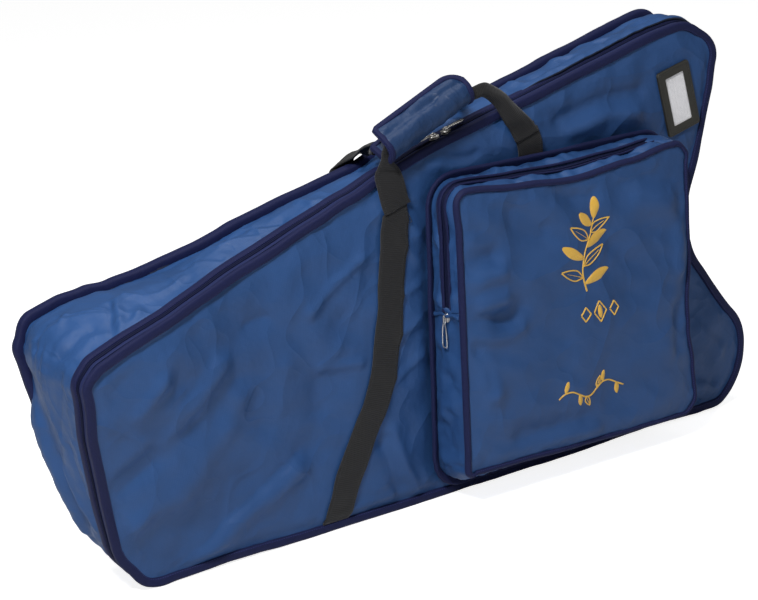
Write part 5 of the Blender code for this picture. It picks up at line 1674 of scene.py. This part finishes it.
BAR_HALF, BAR_ABOVE, BAR_SWING, BAR_TURNS, BAR_RADIUS = 0.017, -0.0005, 0.0016, 60, 0.00045
TACK_STEPS, TACK_LIFT, BAR_LIFT = 12, 0.0026, 0.0030


def build_tacks():
    """Boxes of black stitches that hold the webbing at its four bar tacks."""
    for share, tack in (("left", LEFT_TACK), ("right", RIGHT_TACK)):
        for word, side, body in (("front", -1, "front_flap"), ("back", 1, "shell")):
            build, layer = start_mesh()
            line = []
            for (a0, b0), (a1, b1) in zip(TACK_BOX, TACK_BOX[1:]):
                for k in range(TACK_STEPS):
                    a, b = a0 + (a1 - a0) * k / TACK_STEPS, b0 + (b1 - b0) * k / TACK_STEPS
                    line.append(tack_spot(tack, a, b, side, TACK_LIFT))
            stitch_row(build, layer, line)
            bar = []
            for k in range(BAR_TURNS):
                above = BAR_ABOVE + (BAR_SWING if k % 2 else -BAR_SWING)
                along = -BAR_HALF + 2 * BAR_HALF * k / (BAR_TURNS - 1)
                bar.append(tack_spot(tack, along, above, side, BAR_LIFT))
            tube(build, layer, bar, BAR_RADIUS, 5)
            finish_mesh(build, f"tack_{share}_{word}", BLACK_THREAD, body, "black_webbing")


# The label holder's outlines: half width, half height and corner radius, and for the seam its corners' steps
LABEL_WHOLE, LABEL_HOLE = (0.0285, 0.0455, 0.004), (0.0165, 0.0335, 0.0018)
LABEL_SEAM = (0.0250, 0.0420, 0.003, 8)
LABEL_SHEET, LABEL_COVER = (0.018, 0.035, 0.001), (0.0185, 0.0355, 0.001)


def build_label():
    """The label holder: a stitched plastic frame on a back, with a card under clear film."""
    x, z = LABEL_CENTRE
    centre = Vector((x, -float(depth_at(x, z)) / 2 - LABEL_LIFT - 0.0003, z))
    axes = (LABEL_ACROSS, LABEL_UP, FORWARD)
    plastic = (DARK_PLASTIC, "front_flap", "label_plastic")
    whole, window, sheet, cover, seam = (
        rounded(*sizes) for sizes in (LABEL_WHOLE, LABEL_HOLE, LABEL_SHEET, LABEL_COVER, LABEL_SEAM)
    )
    for name, dressed, node, low, high, outline, hole in (
        ("label_plate", plastic, "label_back", 0.0, 0.0009, whole, None),
        ("label_rim", plastic, "label_frame", 0.0016, 0.0036, whole, window),
        ("label_sheet", (CARD, "name_card", "card"), "label_card", 0.0010, 0.00135, sheet, None),
        ("label_cover", (FILM, "front_flap", "label_window"), "label_film", 0.0016, 0.0019, cover, None),
    ):
        build, layer = start_mesh()
        edge = min(0.0008, (high - low) * 0.4) if hole else (high - low) * 0.3
        slab(build, layer, centre, axes, outline, low, high, edge, hole)
        piece = finish_mesh(build, name, *dressed, (node,), 30.0)
        if name == "label_sheet":
            for loop, data in zip(piece.data.loops, piece.data.uv_layers["UVMap"].data):
                spot = piece.data.vertices[loop.vertex_index].co - ORIGIN - centre
                data.uv = (spot.dot(LABEL_ACROSS), spot.dot(LABEL_UP))
    build, layer = start_mesh()
    line = [centre + LABEL_ACROSS * a + LABEL_UP * b + FORWARD * 0.0037 for a, b in seam + seam[:1]]
    stitch_row(build, layer, line, 0.0026, 0.0012, 0.00028)
    finish_mesh(build, "label_stitches", BLACK_THREAD, "front_flap", "label_plastic")


# A stroke of satin stitch: places across it and how far each stands out of the cloth
STROKE_ACROSS = (-1.0, -0.72, 0.0, 0.72, 1.0)
STROKE_RAISED = (-0.0004, 0.0007, 0.0011, 0.0007, -0.0004)
OUTLINE_STITCH, VEIN_STITCH, DIAMOND_STITCH = 0.0020, 0.0013, 0.0021
STEM_STITCH, SCROLL_STITCH = 0.0030, 0.0024
STROKE_WIDTHS = {
    "even": lambda share: 1.0,
    "leaf": lambda share: math.sin(math.pi * share) ** 0.8 + 0.06,
    "taper": lambda share: 1.0 - 0.65 * share,
}


def add_stroke(build, layer, places, width, profile="even"):
    """A raised line of satin stitch on the pocket's front, through places in the side view."""
    places = eased([Vector(place) for place in places], 8)
    last = len(places) - 1
    rows = []
    for i, here in enumerate(places):
        before, after = neighbours(places, i)
        way = (after - before).normalized()
        across = Vector((way.y, -way.x)) * (width / 2 * STROKE_WIDTHS[profile](i / last))
        rows.append([tuple(here + across * k) for k in STROKE_ACROSS])
    flat = np.array(rows)
    y = face_y(flat[..., 0], flat[..., 1]) - np.array(STROKE_RAISED)
    verts = [
        [build.verts.new(Vector((x, level, z)) + ORIGIN) for (x, z), level in zip(row, levels)]
        for row, levels in zip(flat, y)
    ]
    run = 0.0
    for i in range(last):
        end = run + (places[i + 1] - places[i]).length
        for j in range(4):
            near, far = width * (j / 4 - 0.5), width * ((j + 1) / 4 - 0.5)
            corners = (verts[i][j], verts[i][j + 1], verts[i + 1][j + 1], verts[i + 1][j])
            add_face(build, layer, corners, ((run, near), (run, far), (end, far), (end, near)))
        run = end


def add_leaf(build, layer, root, turn, length, wide, filled):
    """One embroidered leaf: filled, or an outline with a vein."""
    way = Vector((math.cos(math.radians(turn)), math.sin(math.radians(turn))))
    side = Vector((-way.y, way.x)) * wide
    tip = root + way * length
    if filled:
        bow = [root, root.lerp(tip, 0.35) + side * 0.08, root.lerp(tip, 0.7) + side * 0.05, tip]
        add_stroke(build, layer, bow, wide, "leaf")
        return
    for hand in (1, -1):
        bow = [root, root.lerp(tip, 0.3) + side * hand * 0.46, root.lerp(tip, 0.65) + side * hand * 0.36, tip]
        add_stroke(build, layer, bow, OUTLINE_STITCH)
    add_stroke(build, layer, [root, root.lerp(tip, 0.4), root.lerp(tip, 0.75)], VEIN_STITCH, "taper")


# The spray's stem, and its leaves: root, turn in degrees, length and whether it is filled
STEM = ((0.708, 0.252), (0.701, 0.278), (0.705, 0.304), (0.718, 0.328), (0.724, 0.346))
LEAVES = (
    (0.705, 0.262, 18, 0.043, True), (0.702, 0.271, 160, 0.040, False), (0.7015, 0.286, 30, 0.043, False),
    (0.7035, 0.296, 150, 0.040, True), (0.708, 0.310, 22, 0.040, True), (0.713, 0.319, 146, 0.037, False),
    (0.717, 0.327, 26, 0.034, False), (0.7205, 0.336, 138, 0.028, True), (0.724, 0.344, 82, 0.028, True),
)
LEAF_WIDTH = 0.0140
# The diamonds: place, half width and whether it is filled. The scroll's leaves: place on it and turn
DIAMONDS = ((0.703, 0.0075, False), (0.7265, 0.0105, True), (0.750, 0.0075, False))
DIAMOND_Z, DIAMOND_TALL, DIAMOND_FILL = 0.222, 1.3, 0.8
SCROLL_START, SCROLL_STEP, SCROLL_SWING = (0.657, 0.117), 0.0112, 0.0065
SCROLL_LEAVES = ((1, 74), (3, -78), (4, -60), (6, 70), (7, 88), (9, -80))
SCROLL_LEAF_LONG, SCROLL_LEAF_WIDE = 0.0165, 0.0075
THREAD_ANGLE = 60.0


def build_embroidery():
    """A leafy spray, a row of diamonds and a scroll in gold thread, as plain ornament."""
    build, layer = start_mesh()
    add_stroke(build, layer, STEM, STEM_STITCH, "taper")
    for x, z, turn, length, filled in LEAVES:
        add_leaf(build, layer, Vector((x, z)), turn, length, LEAF_WIDTH, filled)
    finish_mesh(build, "embroidery_spray", GOLD_THREAD, None, "blue_fabric", (), THREAD_ANGLE)

    build, layer = start_mesh()
    z = DIAMOND_Z
    for x, half, filled in DIAMONDS:
        tall, fill = half * DIAMOND_TALL, half * DIAMOND_FILL
        corners = [(x + half, z), (x, z + tall), (x - half, z), (x, z - tall)]
        for ends in zip(corners, corners[1:] + corners[:1]):
            add_stroke(build, layer, ends, DIAMOND_STITCH)
        if filled:
            add_stroke(build, layer, [(x, z - fill), (x, z + fill)], fill, "leaf")
    finish_mesh(build, "embroidery_diamonds", GOLD_THREAD, "front_flap", "blue_fabric", (), THREAD_ANGLE)

    build, layer = start_mesh()
    x, z = SCROLL_START
    wave = [(x + SCROLL_STEP * k, z + SCROLL_SWING * math.sin(k * 1.05)) for k in range(11)]
    add_stroke(build, layer, wave, SCROLL_STITCH)
    for k, turn in SCROLL_LEAVES:
        add_leaf(build, layer, Vector(wave[k]), turn, SCROLL_LEAF_LONG, SCROLL_LEAF_WIDE, k % 2 == 1)
    finish_mesh(build, "embroidery_scroll", GOLD_THREAD, "front_flap", "blue_fabric", (), THREAD_ANGLE)


# Build

build_panel("cover_front", -1, "front_flap", "front_panel")
build_panel("cover_back", 1, "shell", "back_panel")
build_binding("binding_front", -1, "front_flap", "front_binding")
build_binding("binding_back", 1, "shell", "back_binding")
build_gusset("gusset_round", ZIP_FIRST, ZIP_LAST, GUSSET_START, ("neck_gusset", "top_gusset", "base_gusset"))
build_gusset("gusset_bottom", BOTTOM_FIRST, BOTTOM_LAST, BEAD_END - 0.004, ("bottom_gusset",))
build_zip_side("zip_front", BEAD_END - 0.002, ZIP_CENTRE - 0.0002, "front_flap", "zip_teeth_front")
build_zip_side("zip_rear", GUARD_START + 0.002, ZIP_CENTRE + 0.0002, "shell", "zip_teeth_rear")
build_guard()
build_pocket()
left_top, right_top = (tack - Vector((0.0, 0.0004)) for tack in (LEFT_TACK, RIGHT_TACK))
right_end = right_top.lerp(Vector(RIGHT_STRAP[-1]), 0.25)
panel_strap("strap_left", [*LEFT_STRAP, left_top], -1, "front_flap", "front_strap_left")
panel_strap("strap_right", [*RIGHT_STRAP, right_end], -1, "front_flap", "front_strap_right")
panel_strap("strap_back_left", [*LEFT_STRAP, left_top], 1, "shell", "back_strap_left")
panel_strap("strap_back_right", [*BACK_RIGHT_STRAP, right_top], 1, "shell", "back_strap_right")
handle_loop("loop_front", -1, FRONT_LOOP, "front_handle", "handle_loop_front")
handle_loop("loop_back", 1, BACK_LOOP, "back_handle", "handle_loop_back")
build_wrap()
build_tacks()
build_main_sliders()
build_pocket_slider()
build_label()
build_embroidery()

# Stage, lights, camera

CAMERA_AZIMUTH, CAMERA_ELEVATION, CAMERA_ROLL = 34.5, 16.5, 3.0
FOCAL_PIXELS, IMAGE_WIDTH, SENSOR = 2040.0, 758.0, 36.0
CAMERA_DISTANCE = 2.556
CAMERA_TARGET = Vector((0.4687, 0.0, 0.2655)) + ORIGIN
FLOOR_HALF, FLOOR_LEVEL = 12.0, -0.0004
FLOOR_COLOUR, FLOOR_GLOW = (0.86, 0.86, 0.86, 1.0), (0.85, 0.85, 0.85, 1.0)
WHITE = (1.0, 1.0, 1.0, 1.0)
SKY_LIGHT, SKY_SEEN = 0.13, 1.0
# Lamps: name, place, target, size and power
LAMPS = (
    ("key", (-1.25, -0.90, 1.80), (0.0, 0.0, 0.25), (0.4, 0.4), 38.0),
    ("overhead", (0.1, 0.2, 2.2), (0.0, 0.0, 0.25), (1.2, 0.9), 13.0),
    ("front", (1.3, -2.6, 1.5), (0.1, 0.0, 0.25), (1.8, 1.2), 6.5),
)


def build_camera():
    """The camera as it was solved from the photograph."""
    a, e, roll = (math.radians(v) for v in (CAMERA_AZIMUTH, CAMERA_ELEVATION, CAMERA_ROLL))
    back = Vector((-math.sin(a) * math.cos(e), -math.cos(a) * math.cos(e), math.sin(e)))
    right = Vector((math.cos(a), -math.sin(a), 0.0))
    up = back.cross(right)
    right, up = right * math.cos(roll) - up * math.sin(roll), right * math.sin(roll) + up * math.cos(roll)
    data = bpy.data.cameras.new("camera")
    data.sensor_width = SENSOR
    data.lens = FOCAL_PIXELS * SENSOR / IMAGE_WIDTH
    camera = link("camera", data)
    turn = Matrix((right, up, back)).transposed().to_4x4()
    camera.matrix_world = Matrix.Translation(CAMERA_TARGET + back * CAMERA_DISTANCE) @ turn
    bpy.context.scene.camera = camera


def build_floor():
    """A light floor that glows for the camera alone."""
    mesh = bpy.data.meshes.new("floor")
    corners = [(x * FLOOR_HALF, y * FLOOR_HALF, 0) for x, y in ((-1, -1), (1, -1), (1, 1), (-1, 1))]
    mesh.from_pydata(corners, [], [(0, 1, 2, 3)])
    floor = link("floor", mesh)
    floor.location.z = FLOOR_LEVEL
    material = bpy.data.materials.new("floor")
    material.use_nodes = True
    tree = material.node_tree
    inputs = tree.nodes["Principled BSDF"].inputs
    inputs["Base Color"].default_value = FLOOR_COLOUR
    inputs["Roughness"].default_value = 0.9
    path = tree.nodes.new("ShaderNodeLightPath")
    tree.links.new(path.outputs["Is Camera Ray"], inputs["Emission Strength"])
    inputs["Emission Color"].default_value = FLOOR_GLOW
    mesh.materials.append(material)


def add_area(name, place, target, size, power):
    """A rectangular lamp that points at its target."""
    data = bpy.data.lights.new(name, "AREA")
    data.shape = "RECTANGLE"
    data.size, data.size_y = size
    data.energy = power
    lamp = link(name, data)
    lamp.location = place
    lamp.rotation_euler = (Vector(target) - Vector(place)).to_track_quat("-Z", "Y").to_euler()


def build_world():
    """A dim even sky that the camera sees as white, also through clear film."""
    world = bpy.data.worlds.new("studio")
    bpy.context.scene.world = world
    world.use_nodes = True
    tree = world.node_tree
    sky = tree.nodes["Background"]
    path = tree.nodes.new("ShaderNodeLightPath")
    seen = tree.nodes.new("ShaderNodeMath")
    seen.operation = "MAXIMUM"
    tree.links.new(path.outputs["Is Camera Ray"], seen.inputs[0])
    tree.links.new(path.outputs["Is Transmission Ray"], seen.inputs[1])
    level = tree.nodes.new("ShaderNodeMapRange")
    level.inputs["To Min"].default_value = SKY_LIGHT
    level.inputs["To Max"].default_value = SKY_SEEN
    tree.links.new(seen.outputs[0], level.inputs["Value"])
    sky.inputs["Color"].default_value = WHITE
    tree.links.new(level.outputs[0], sky.inputs["Strength"])


build_camera()
build_floor()
build_world()
for lamp in LAMPS:
    add_area(*lamp)

bpy.context.scene.view_settings.view_transform = "Standard"
